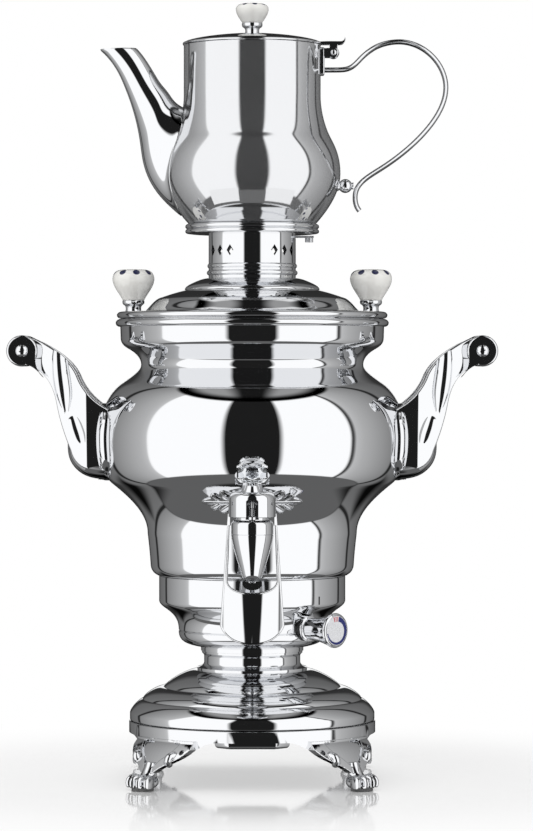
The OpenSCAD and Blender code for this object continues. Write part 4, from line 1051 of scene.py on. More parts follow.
    def mirrored_room(self, tree: Tree) -> Socket:
        """Build the room that mirrors see: two tall soft boxes, grey walls, a ceiling and a dark floor.

        Args:
            tree: The world's node tree.

        Returns:
            The room's level in every direction.
        """
        way = add_node(tree, "TexCoord").outputs["Generated"]
        axes = add_node(tree, "SeparateXYZ", {}, {0: way})
        across, along, up = (axes.outputs[name] for name in "XYZ")
        back = add_node(tree, "Math", {"operation": "MULTIPLY"}, {0: along, 1: -1.0})
        angle = add_node(tree, "Math", {"operation": "ARCTAN2"}, {0: across, 1: back.outputs[0]})
        share = add_node(tree, "MapRange", {},
                         {"Value": angle.outputs[0], "From Min": -math.pi, "From Max": math.pi})
        ramp = add_node(tree, "ValToRGB", {}, {0: share.outputs[0]})
        ramp.color_ramp.elements.remove(ramp.color_ramp.elements[1])
        for i, (degrees, level) in enumerate(self.walls):
            spot = 0.5 + degrees / 360
            stop = ramp.color_ramp.elements[0] if i == 0 else ramp.color_ramp.elements.new(spot)
            stop.position = spot
            stop.color = grey(level)
        rise = add_node(tree, "Math", {"operation": "ARCSINE"}, {0: up}).outputs[0]
        side = add_node(tree, "Math", {"operation": "ABSOLUTE"}, {0: across}).outputs[0]
        rad = math.radians
        foot, head, beside = (rad(-44), rad(-41)), (rad(55), rad(58)), (side, 0.08, 0.24, 0.03, 1)
        low_back = self.fold(tree, "MAXIMUM", self.shade(tree, (along, 0.66, 0.78, 1, 0.02)),
                             self.shade(tree, (rise, rad(-28), rad(-16), 0, 1)))
        ring = self.fold(tree, "MULTIPLY", ramp.outputs[0], low_back,
                         self.shade(tree, (rise, *foot, 0, 1), (rise, *head, 1, 0)))
        ceiling = self.shade(tree, beside, (rise, rad(61), rad(70), 0, 0.3))
        panel = self.shade(tree, beside, (along, 0.0, 0.2, 0, 0.75), (up, 0.8, 0.88, 0, 1),
                           (side, 0.34, 0.42, 1, 0))
        ground = self.shade(tree, (along, 0.48, 0.62, 0.11, 0.01), (rise, *foot, 1, 0),
                            (up, -0.99, -0.94, 0.12, 1))
        horizon = self.shade(tree, (along, 0.985, 0.99, 0, 0.82), (rise, rad(1.5), rad(2.5), 0, 1))
        return self.fold(tree, "MAXIMUM", ring, ceiling, panel, ground, horizon)

    def surround(self) -> None:
        """Build the world: one room for mirrors, one for soft light, and white for the camera."""
        world = bpy.data.worlds.new("studio")
        bpy.context.scene.world = world
        world.use_nodes = True
        tree = world.node_tree
        tree.nodes.clear()
        room = self.mirrored_room(tree)
        mirrors = add_node(tree, "Background", {}, {"Color": room, "Strength": self.box_light})
        even = add_node(tree, "Background", {}, {"Color": grey(1.0), "Strength": self.ambient})
        white = add_node(tree, "Background", {}, {"Color": grey(1.0), "Strength": 1.0})
        ray = add_node(tree, "LightPath")
        sharp = self.fold(tree, "MAXIMUM", ray.outputs["Is Glossy Ray"], ray.outputs["Is Transmission Ray"])
        lit = add_node(tree, "MixShader", {}, {0: sharp, 1: even.outputs[0], 2: mirrors.outputs[0]})
        seen = add_node(tree, "MixShader", {},
                        {0: ray.outputs["Is Camera Ray"], 1: lit.outputs[0], 2: white.outputs[0]})
        add_node(tree, "OutputWorld", {}, {"Surface": seen.outputs[0]})

    def hang_lights(self) -> None:
        """Hang a wide soft lamp at the upper left that shapes the porcelain and the floor's shadow."""
        bpy.ops.object.light_add(type="AREA", location=(-0.8, -1.0, 1.5))
        lamp = bpy.context.object
        lamp.data.energy = self.key
        lamp.data.size = 1.2
        lamp.rotation_euler = (Vector((0, 0, 0.2)) - lamp.location).to_track_quat("-Z", "Y").to_euler()
        lamp.visible_glossy = False

    def build(self) -> None:
        """Set up the whole studio."""
        bpy.context.scene.view_settings.view_transform = "Standard"
        self.place_camera()
        self.lay_floor()
        self.lay_cards()
        self.surround()
        self.hang_lights()


# ---- base and feet


@dataclass
class Leg:
    """A cast cabriole leg: a knee panel between two scrolls, an ankle and a paw with toes."""

    skirt_r: float = 79.3
    top: float = 31.0
    low: float = 24.5
    knee_half: float = 15.5
    ankle_r: float = 91.0
    ankle_z: float = 12.0
    ankle_half: float = 4.6
    paw_r: float = 97.5
    eye_y: float = 21.0
    eye_r: float = 1.6
    pad_t: float = 2.0

    def profile(self, proud: float) -> Outline:
        """Return the knee's outer line from the skirt down to the ankle, moved outwards by proud.

        Args:
            proud: How far the line moves outwards.

        Returns:
            The line, from the top down.
        """
        r, out = self.skirt_r + proud, self.ankle_r + proud
        line = Outline([(r + 0.3, self.top)]).line((r + 0.5, self.top - 1.5))
        return line.curve((r + 4.6, self.low + 1), (r + 7.6, self.low - 4), (out + 1.2, self.ankle_z - 1), 14)

    def slab(self, inner: float, outer: float) -> Piece:
        """Spin the layer between two distances in front of the knee's line.

        Args:
            inner: The distance of its inner face.
            outer: The distance of its outer face.

        Returns:
            The layer, about the leg's middle.
        """
        near, far = self.profile(inner), self.profile(outer)
        layer = Outline(far.points + list(reversed(near.points)))
        return place(capped(spin("slab", layer, 28, closed=True, sweep=50)), turn(-25, "Z"))

    def window(self, half: Outline) -> Piece:
        """Raise a front view, given by its right half, into a cutter along the leg."""
        return place(prism("window", half.mirrored(), 0, 150), ACROSS)

    def panel(self) -> Piece:
        """Build the knee: a smooth sunk panel between two raised limbs that run down to the ankle.

        Returns:
            The knee.
        """
        low, foot = self.low, self.ankle_z - 3
        edge = Outline([(0, foot), (self.ankle_half, foot)])
        edge.curve((self.ankle_half + 0.6, foot + 3.5), (10.5, low - 9.5), (17, low - 6), 12)
        edge.curve((20.5, low - 4.2), (23.5, low - 2), (25.5, low + 1.5), 8)
        edge.line((25.5, self.top), (0, self.top))
        sunk = Outline([(0, foot - 2), (2.2, foot - 2)])
        sunk.curve((2.2, foot + 5.5), (5.5, low - 6.5), (10, low - 3.2), 12)
        sunk.curve((13, low - 1), (self.knee_half, low + 2), (self.knee_half + 0.4, self.top - 1.4), 10)
        sunk.curve((self.knee_half - 6, self.top - 0.4), (6, self.top + 1), (0, self.top + 2), 8)
        raised = combine("INTERSECT", self.slab(-4.2, 1.9), self.window(edge))
        return combine("DIFFERENCE", raised, combine("INTERSECT", self.slab(0, 6), self.window(sunk)))

    def leaf(self, side: int) -> Piece:
        """Build the leaf that curls forwards out of a limb.

        Args:
            side: 1 for the limb at +Y, -1 for the other.

        Returns:
            The leaf.
        """
        r, z = self.skirt_r, self.low
        line = [(r + 3, 17.5, z - 1), (r + 4.6, 16.4, z - 2.4), (r + 7.6, 15.4, z - 1.8),
                (r + 9.8, 14.6, z - 3.8), (r + 9.2, 13.6, z - 7), (r + 6.4, 12.4, z - 8.4),
                (r + 4.4, 11.4, z - 8)]
        radii = [1.2, 2.0, 2.3, 2.5, 2.5, 2.2, 1.4]
        return rod("blade", [(x, side * y, z) for x, y, z in line], radii, 5)

    def paw(self) -> list[Piece]:
        """Build the ankle, the ball of the foot and four toes.

        Returns:
            The solids, still apart.
        """
        out, reach = self.ankle_r, self.paw_r
        shin = [(out - 1.8, 0, self.ankle_z + 5), (out - 0.8, 0, self.ankle_z + 0.5),
                (out + 1.0, 0, self.ankle_z - 3.5), (reach - 4, 0, 4.5)]
        made = [bead("ball", (7.6, 7.6, 4.8), (reach - 4.0, 0, 5.2)),
                rod("ankle", shin, [3.6, 4.0, 5.2, 6.6], 6)]
        for spread in (-1.5, -0.5, 0.5, 1.5):
            toe = bead("toe", (5.8, 2.5, 5.4), (0, 0, 0), 24)
            made.append(place(toe, shift(reach + 2.6 - 0.9 * spread**2, spread * 4.5, 5.0)
                              @ turn(spread * 12, "Z") @ turn(16, "Y")))
        return made

    def build(self) -> None:
        """Cast one leg and copy it to the other three corners."""
        leg = cast(join(self.panel(), self.leaf(-1), self.leaf(1), *self.paw()), 0.4, 3)
        with editing(leg):
            bpy.ops.mesh.bisect(plane_co=(0, 0, self.pad_t * MM), plane_no=(0, 0, 1), clear_inner=True,
                                use_fill=True)
        near, far, r = self.skirt_r - 2.6, self.skirt_r + 20.7, self.eye_r
        for side in (-1, 1):
            eye = spin("eye", Outline([(0, near), (r, near), (r, far), (0, far)]), 24)
            combine("DIFFERENCE", leg, place(eye, shift(0, side * self.eye_y, self.low - 0.2) @ SIDEWAYS))
        for name, angle in (("leg_front_left", -135), ("leg_rear_left", 135), ("leg_rear_right", 45)):
            hand_over(copy_of(leg, name + "_cast", turn(angle, "Z")), MIRROR, Body.URN, name, angle=50)
        leg.name = "leg_front_right_cast"
        hand_over(place(leg, turn(-45, "Z")), MIRROR, Body.URN, "leg_front_right", angle=50)


@dataclass
class Base:
    """The footed base: a scalloped skirt, a dome of three rolls, the box beneath and the neck."""

    skirt_r: float = 79.3
    skirt_low: float = 24.5
    seam: float = 38.0
    dome_h: float = 32.5
    dome_top_r: float = 36.5
    arch_h: float = 6.0
    arch_half: float = 41.0
    neck_r: float = 31.0
    neck_top: float = 82.5
    box_w: float = 48.0
    box_top: float = 34.4
    box_low: float = 20.8
    sheet: float = 1.2

    def skirt(self) -> None:
        """Spin the skirt and cut its four shallow arches."""
        wall = Outline([(self.skirt_r, self.skirt_low), (self.skirt_r, self.seam - 0.9)])
        wall.arc((self.skirt_r - 0.7, self.seam - 0.9), 0.7, 0, 90, 4)
        skirt = spin("skirt", wall, 160, self.sheet)
        low, high = self.skirt_low, self.skirt_low + self.arch_h
        half = Outline([(0, low - 2), (self.arch_half, low - 2), (self.arch_half, low)])
        half.curve((self.arch_half - 8, low), (self.arch_half - 10, high), (self.arch_half - 19, high))
        half.line((0, high))
        for quarter in (0, 90):
            cutter = prism("arch", half.mirrored(), -120, 120)
            combine("DIFFERENCE", skirt, place(cutter, turn(quarter, "Z") @ UPRIGHT))
        hand_over(soften(skirt, 0.25, 2, 60), MIRROR, Body.URN, "base_skirt")

    def dome(self) -> None:
        """Spin the dome with its three rolls."""
        r, z = self.skirt_r - 0.5, self.seam
        foot = z + 0.15 * self.dome_h
        mid = (self.dome_top_r + 0.48 * (self.skirt_r - self.dome_top_r), z + 0.655 * self.dome_h)
        outline = Outline([(r - 2.5, z + 0.3), (r - 0.8, z + 0.3)]).arc((r - 0.8, z + 1.1), 0.8, -90, 0, 4)
        outline.line((r, foot)).roll((self.skirt_r - 8.7, z + 0.418 * self.dome_h), 1.1)
        outline.roll(mid, 1.8).roll((self.dome_top_r, z + self.dome_h), 1.8)
        outline.line((self.neck_r - 3, z + self.dome_h + 0.01))
        hand_over(spin("dome", outline, 192, self.sheet), MIRROR, Body.URN, "base_dome", angle=25)

    def box(self) -> None:
        """Raise the octagonal box under the base, with a rounded lower edge."""
        reach = self.box_w / 2
        cut = reach * 0.64
        corners = [(reach, -cut), (reach, cut), (cut, reach), (-cut, reach), (-reach, cut), (-reach, -cut),
                   (-cut, -reach), (cut, -reach)]
        box = prism("bottom_box_shell", Outline(corners), self.box_low, self.box_top)
        soften(box, 2.6, 6, 60)
        hand_over(soften(box, 0.3, 2, 30), MIRROR, Body.URN, "bottom_box")

    def neck(self) -> None:
        """Spin the short neck between the dome and the housing."""
        r, low, top = self.neck_r, self.seam + self.dome_h, self.neck_top
        outline = Outline([(r + 4.4, low), (r + 4.4, low + 1.4)])
        outline.curve((r + 1.6, low + 2), (r, low + 3), (r, low + 4.8)).line((r, low + 8.4))
        outline.curve((r, low + 9.6), (r + 0.5, top - 2.2), (r + 1.4, top - 1.3)).line((r + 1.4, top))
        hand_over(spin("neck", outline, 128, self.sheet), MIRROR, Body.URN, "pedestal_neck")

    def build(self) -> None:
        """Build the whole base."""
        self.skirt()
        self.dome()
        self.box()
        self.neck()


# ---- heater housing and dial


@dataclass
class Housing:
    """The heater housing: a bowl under a wide band, with the dial in front and the inlet behind."""

    foot_r: float = 33.0
    foot: float = 82.5
    bowl_r: float = 47.4
    bowl_z: float = 95.1
    band_r: float = 60.0
    band_z: float = 115.0
    top: float = 131.0
    sheet: float = 1.2
    inlet_z: float = 115.0
    inlet_half: Point = (14.6, 10.7)

    def outline(self) -> Outline:
        """Return the outer outline from the foot to the seam under the tank.

        Returns:
            The outline.
        """
        r, z, bowl, rise = self.foot_r, self.foot, self.bowl_r, self.bowl_z
        outline = Outline([(r - 2, z + 0.1), (r, z + 0.1), (r, z + 2.6)])
        outline.curve((r + 8, z + 4.2), (bowl, rise - 7.5), (bowl, rise), 14)
        outline.line((bowl - 0.5, rise + 0.5), (bowl, rise + 1.2))
        outline.ogee((self.band_r, self.band_z), (0.48, 0.63), 1.8, (0.3, 0.15, 0.12, 0.15), 14)
        outline.line((self.band_r, self.top - 0.7))
        return outline.arc((self.band_r - 0.6, self.top - 0.7), 0.6, 0, 90, 4)

    def shell(self) -> None:
        """Spin the housing and cut the opening for the inlet."""
        shell = spin("housing", self.outline(), 192, self.sheet)
        w, h = self.inlet_half
        frame = Outline([(-w, -h), (w, -h), (w, h - 5), (w - 5, h), (5 - w, h), (-w, h - 5)])
        cutter = place(prism("cutter", frame, 30, 90), shift(z=self.inlet_z) @ BACKWARDS @ turn(180, "Z"))
        combine("DIFFERENCE", shell, cutter)
        hand_over(shell, MIRROR, Body.URN, "heater_housing", angle=25)

    def index(self) -> None:
        """Paint the short black mark over the dial."""
        mark = Outline([(-0.5, -2.6), (0.5, -2.6), (0.5, 2.6), (-0.5, 2.6)])
        bar = prism("dial_mark", mark, 0, 0.25)
        spot = turn(Dial.angle, "Z") @ shift(self.band_r - 0.08, 0, self.band_z + 2.2)
        hand_over(soften(place(bar, spot @ ACROSS), 0.1), DARK_PLASTIC, Body.URN)

    def build(self) -> None:
        """Build the shell and its mark."""
        self.shell()
        self.index()


@dataclass
class Dial:
    """The thermostat knob on its dark collar, at the front right of the housing."""

    z: float = 99.0
    angle: float = -45.0
    seat: float = 48.1
    collar_l: float = 4.5
    gap: float = 0.3
    length: float = 23.0
    face_r: float = 11.0
    root_r: float = 7.0

    def spot(self, distance: float) -> Matrix:
        """Return the place of a part made along +Z at a distance from the urn's axis."""
        return turn(self.angle, "Z") @ shift(distance, 0, self.z) @ SIDEWAYS

    def collar(self) -> None:
        """Turn the dark collar with its raised bead."""
        outline = Outline([(0, -3), (8.0, -3), (8.0, 0.6)]).arc((7.2, 0.9), 0.8, 0, 90, 6).line((0, 1.7))
        collar = place(spin("dial_collar", outline, 64), self.spot(self.seat))
        hand_over(collar, DARK_PLASTIC, Body.URN, "thermostat_collar")
        length = self.collar_l
        ring = Outline([(0, 1.6), (6.9, 1.6), (6.9, 2.0)]).arc((7.3, 3.0), 1.1, -80, 80, 10)
        ring.line((6.9, length - 0.1), (0, length - 0.1))
        hand_over(place(spin("dial_ring", ring, 64), self.spot(self.seat)), MIRROR, Body.URN)

    def knob(self) -> None:
        """Turn the flared knob with a bright rim round its printed disc."""
        length, face, root = self.length, self.face_r, self.root_r
        outline = Outline([(0, 0), (root - 0.6, 0)]).curve((root, 0), (root, 0.3), (root, 1), 4)
        outline.curve((root + 0.2, length * 0.4), (face - 2.4, length * 0.5), (face - 1.2, length - 5.2))
        outline.line((face - 0.9, length - 4.2)).arc((face - 1.4, length - 2.2), 1.4, -60, 80, 10)
        outline.line((face - 1.5, length - 0.5), (face - 1.6, length - 1), (0, length - 1))
        knob = place(spin("dial_knob", outline, 96), self.spot(self.seat + self.collar_l + self.gap))
        hand_over(knob, MIRROR, Body.DIAL, "thermostat_knob")

    def disc(self) -> None:
        """Set in the printed disc."""
        reach, radius = self.seat + self.collar_l + self.gap + self.length - 1, self.face_r - 1.6
        outline = Outline([(0, 0), (radius, 0), (radius, 0.3), (radius - 0.4, 0.6), (0, 0.6)])
        disc = place(spin("dial_face", outline, 64), self.spot(reach))
        middle = turn(self.angle, "Z") @ Vector((reach, 0, self.z))
        printed = PrintedDisc("printed_disc", "dial_print", "#E4E5E8", 0.0, 0.3, tuple(middle), radius)
        hand_over(disc, printed, Body.DIAL, "dial_disc")

    def build(self) -> None:
        """Build the collar, the knob and its disc."""
        self.collar()
        self.knob()
        self.disc()


# ---- tank


@dataclass
class Tank:
    """The water tank: a flared waist, a wide bulge, a hollow neck and a rolled rim."""

    foot: float = 131.0
    foot_r: float = 60.3
    waist_r: float = 65.5
    bulge_r: float = 99.0
    bulge_z: float = 219.96
    cove_r: float = 71.6
    cove_z: float = 266.6
    collar_r: float = 84.8
    collar_z: float = 283.96
    rim: float = 291.0
    rim_h: float = 5.0
    rim_proud: float = 3.2
    sheet: float = 1.2

    def outline(self) -> Outline:
        """Return the outer outline from the seam over the housing to the rim.

        Returns:
            The outline.
        """
        waist, flare = self.waist_r, self.foot + 27.04
        outline = Outline([(self.foot_r, self.foot)])
        outline.curve((self.foot_r + 3.2, self.foot + 1), (waist - 0.2, self.foot + 3.5),
                      (waist, self.foot + 7))
        outline.curve((waist + 0.4, self.foot + 14), (waist + 1.2, flare - 6), (waist + 1.9, flare))
        outline.ogee((self.bulge_r, self.bulge_z), (0.715, 0.516), 2.47, (0.177, 0.185, 0.081, 0.242), 20)
        outline.ogee((self.cove_r, self.cove_z), (0.547, 0.742), 2.4, (0.322, 0.129, 0.107, 0.077), 20)
        outline.ogee((self.collar_r, self.collar_z), (0.598, 0.58), 2.37, (0.253, 0.132, 0.109, 0.2), 12)
        return outline.line((self.collar_r + 0.3, self.rim + self.rim_h / 2))

    def build(self) -> None:
        """Spin the shell, its floor and its rolled rim."""
        shell = spin("tank", self.outline(), 224, self.sheet)
        hand_over(shell, MIRROR, Body.URN, "tank_shell", angle=25)
        floor = Outline([(0, self.foot + 1.5), (self.foot_r + 1, self.foot + 1.5)])
        hand_over(spin("tank_floor", floor, 96, self.sheet), MIRROR, Body.URN)
        out, half = self.collar_r + self.rim_proud, self.rim_h / 2
        roll = Outline([(self.collar_r - 1, self.rim), (out - half, self.rim)])
        roll.arc((out - half, self.rim + half), half, -88, 88, 20)
        roll.line((self.collar_r - 1, self.rim + self.rim_h))
        hand_over(spin("tank_rim", roll, 192, closed=True), MIRROR, Body.URN, angle=40)


# ---- side handles


@dataclass
class SideHandle:
    """A carrying handle: two cast arms on a flanged pad, with a turned grip between their eyes.

    An arm's root stands proud of its eye by stock. Its face starts to slant face_out outside the bulge
    and leaves a web of thin behind the eye.
    """

    tank: Tank = field(default_factory=Tank)
    reach: float = 147.2
    z: float = 275.4
    eye_r: float = 10.0
    grip_r: float = 6.5
    half_w: float = 23.0
    arm_t: float = 8.0
    stock: float = 4.0
    thin: float = 0.8
    face_out: float = 6.5
    slant: float = 17.5
    pad_t: float = 4.0
    pad_half: float = 35.0
    pad_band: Point = (180.0, 255.0)

    def arm_outline(self) -> Outline:
        """Return an arm's outline seen from the front, the eye included.

        Returns:
            The outline, closed by its first point.
        """
        x, z, r, b = self.reach, self.z, self.tank.bulge_r, self.tank.bulge_z
        out = Outline([]).arc((x, z), self.eye_r, -117, 112, 14)
        out.curve((x - 17, z + 3.6), (x - 30.5, z - 3.9), (x - 35.7, z - 15.4), 14)
        out.curve((x - 37.5, z - 20.4), (r + 6.5, b + 27.5), (r - 2, b + 21.5), 12)
        out.line((r - 8, b + 18), (r - 8, b - 26)).line((r - 2, b - 22))
        out.curve((r + 8, b - 21), (r + 15, b - 17), (r + 17, b - 8), 10)
        out.curve((r + 20, b - 1), (x - 24.2, z - 45.4), (x - 22.2, z - 34.4), 12)
        return out.curve((x - 20.2, z - 23.4), (x - 16.2, z - 14.4), out.points[0], 12)

    def arm(self) -> Piece:
        """Build the front arm: a slanted face, a raised flat round the eye and two scooped flutes.

        Returns:
            The right-hand front arm.
        """
        inner, half = self.half_w - self.arm_t, self.half_w
        x, z, flat = self.reach, self.z, self.tank.bulge_r + self.face_out
        slope, thick = math.tan(math.radians(self.slant)), self.arm_t + self.stock
        arm = place(prism("arm", self.arm_outline(), inner, inner + thick), UPRIGHT)
        soften(arm, 1.4, 5, 40)
        with editing(arm):
            for crease in (flat, flat + (thick - self.thin) / slope):
                bpy.ops.mesh.select_all(action="SELECT")
                bpy.ops.mesh.bisect(plane_co=(crease * MM, 0, 0), plane_no=(1, 0, 0))
        for vertex in arm.data.vertices:
            room = max(thick - max(vertex.co.x / MM - flat, 0) * slope, self.thin)
            vertex.co.y = -(inner + (-vertex.co.y / MM - inner) * room / thick) * MM
        upper = [(x - 22.6, -21.5, z + 8), (x - 23.1, -23.6, z + 1), (x - 23.6, -24.4, z - 10),
                 (x - 25.0, -25.2, z - 22), (x - 26.8, -25.6, z - 32), (x - 28.4, -24.6, z - 41)]
        combine("DIFFERENCE", arm, rod("flute", upper, [1.5, 5.4, 6.6, 7.2, 6.4, 1.5], 8))
        lower = [(x - 30.2, -27, z - 36), (x - 31.6, -28.4, z - 42), (x - 34.4, -29.4, z - 50),
                 (x - 37.8, -30, z - 58), (x - 40.2, -29, z - 63)]
        combine("DIFFERENCE", arm, rod("lower_flute", lower, [1.5, 5.6, 6.2, 5.4, 1.5], 8))
        boss = Outline([(0, inner), (self.eye_r, inner), (self.eye_r, half - 1.5)])
        boss.arc((self.eye_r - 1.5, half - 1.5), 1.5, 0, 90, 8).line((0, half))
        boss = place(spin("boss", boss, 72), shift(x, 0, z) @ FORWARDS)
        tail = Outline([(x - 2, z - 8.6), (x - 1, z), (x - 8.4, z + 3.4)])
        tail.curve((x - 9.6, z - 1), (x - 7.6, z - 6), (x - 9.4, z - 10.4), 8)
        tail.curve((x - 10.4, z - 13), (x - 11.5, z - 15), (x - 13.4, z - 16.6), 6)
        tail.curve((x - 9.5, z - 12.2), (x - 7, z - 9.6), (x - 2, z - 8.6), 8)
        tail = soften(place(prism("tail", tail, inner + 1, half - 0.04), UPRIGHT), 0.3, 2, 40)
        return join(arm, boss, tail)

    def pad(self) -> Piece:
        """Build the flanged pad that lies on the bulge.

        Returns:
            The right-hand pad.
        """
        skin, b, (foot, head) = self.tank.outline(), self.tank.bulge_z, self.pad_band
        layer = skin.beside(-self.pad_t).points + list(reversed(skin.beside(3.2).points))
        body = Outline([point for point in layer if foot < point[1] < head])
        pad = spin("pad", body, 60, closed=True, sweep=50)
        place(capped(pad), turn(-25, "Z"))
        w, low, high = self.pad_half, b - 28, b + 22
        edge = Outline([(-w, b - 6)]).curve((-w, low + 6), (-w + 12, low), (0, low), 12)
        edge.curve((w - 12, low), (w, low + 6), (w, b - 6), 12).line((w, b + 4))
        edge.curve((w, high - 6), (w - 12, high), (0, high), 12)
        edge.curve((-w + 12, high), (-w, high - 6), (-w, b + 4), 12)
        cookie = place(prism("cookie", edge, 60, 130), ACROSS)
        return soften(combine("INTERSECT", pad, cookie), 3.0, 6, 50, clamp=False)

    def boot(self) -> Piece:
        """Build the horn that wraps both arms at the bottom of the pad.

        Returns:
            The right-hand horn.
        """
        r, b = self.tank.bulge_r, self.tank.bulge_z
        line = [(r - 5, 0, b - 20.5), (r + 4, 0, b - 20.5), (r + 11.5, 0, b - 17), (r + 16.5, 0, b - 11),
                (r + 19.4, 0, b - 3.6)]
        return place(rod("horn", line, [6.8, 6.6, 5.6, 4.0, 0.6], 8), stretch(1, 4.3, 1))

    def grip(self, side: int) -> None:
        """Turn the grip with a bead at each end.

        Args:
            side: 1 for the right-hand grip, -1 for the left-hand one.
        """
        inner = self.half_w - self.arm_t
        half = Outline([(0, inner), (self.grip_r - 0.9, inner)])
        half.arc((self.grip_r - 1.1, inner - 1.2), 1.1, 60, -60, 6).line((self.grip_r - 1, inner - 2.8))
        half.curve((self.grip_r - 0.2, inner - 4), (self.grip_r, inner - 6), (self.grip_r, 0), 8)
        full = Outline(half.points + [(r, -z) for r, z in reversed(half.points)])
        word = "right" if side > 0 else "left"
        grip = place(spin("grip_" + word, full, 64), shift(side * self.reach, 0, self.z) @ FORWARDS)
        hand_over(grip, MIRROR, Body.URN, "handle_grip_" + word)

    def screws(self) -> None:
        """Turn one pan head with a cross slot and copy it to the four eyes."""
        head = Outline([(0, 2.4)]).curve((2.0, 2.4), (4.1, 1.5), (4.2, -0.2), 10).line((4.2, -1.4), (0, -1.4))
        screw = spin("screw", head, 48)
        for angle in (20, 110):
            bar = prism("slot", Outline([(-1.8, -0.35), (1.8, -0.35), (1.8, 0.35), (-1.8, 0.35)]), 1.5, 4)
            combine("DIFFERENCE", screw, place(bar, turn(angle, "Z")))
        made = []
        for x in (-1, 1):
            for y, way in ((-1, FORWARDS), (1, BACKWARDS)):
                spot = shift(x * self.reach, y * (self.half_w - 0.8), self.z) @ way
                made.append(copy_of(screw, "handle_screw_heads", spot))
        bpy.data.objects.remove(screw, do_unlink=True)
        hand_over(join(*made), MIRROR, Body.URN, "handle_screws")

    def build(self) -> None:
        """Build the right handle, mirror it to the left, and add grips and screws."""
        front = self.arm()
        rear = copy_of(front, "rear_arm", stretch(1, -1, 1))
        right = join(front, rear, self.pad(), self.boot())
        right.name = "handle_right_cast"
        left = copy_of(right, "handle_left_cast", stretch(-1, 1, 1))
        hand_over(right, MIRROR, Body.URN, "handle_right")
        hand_over(left, MIRROR, Body.URN, "handle_left")
        self.grip(1)
        self.grip(-1)
        self.screws()


# ---- tap


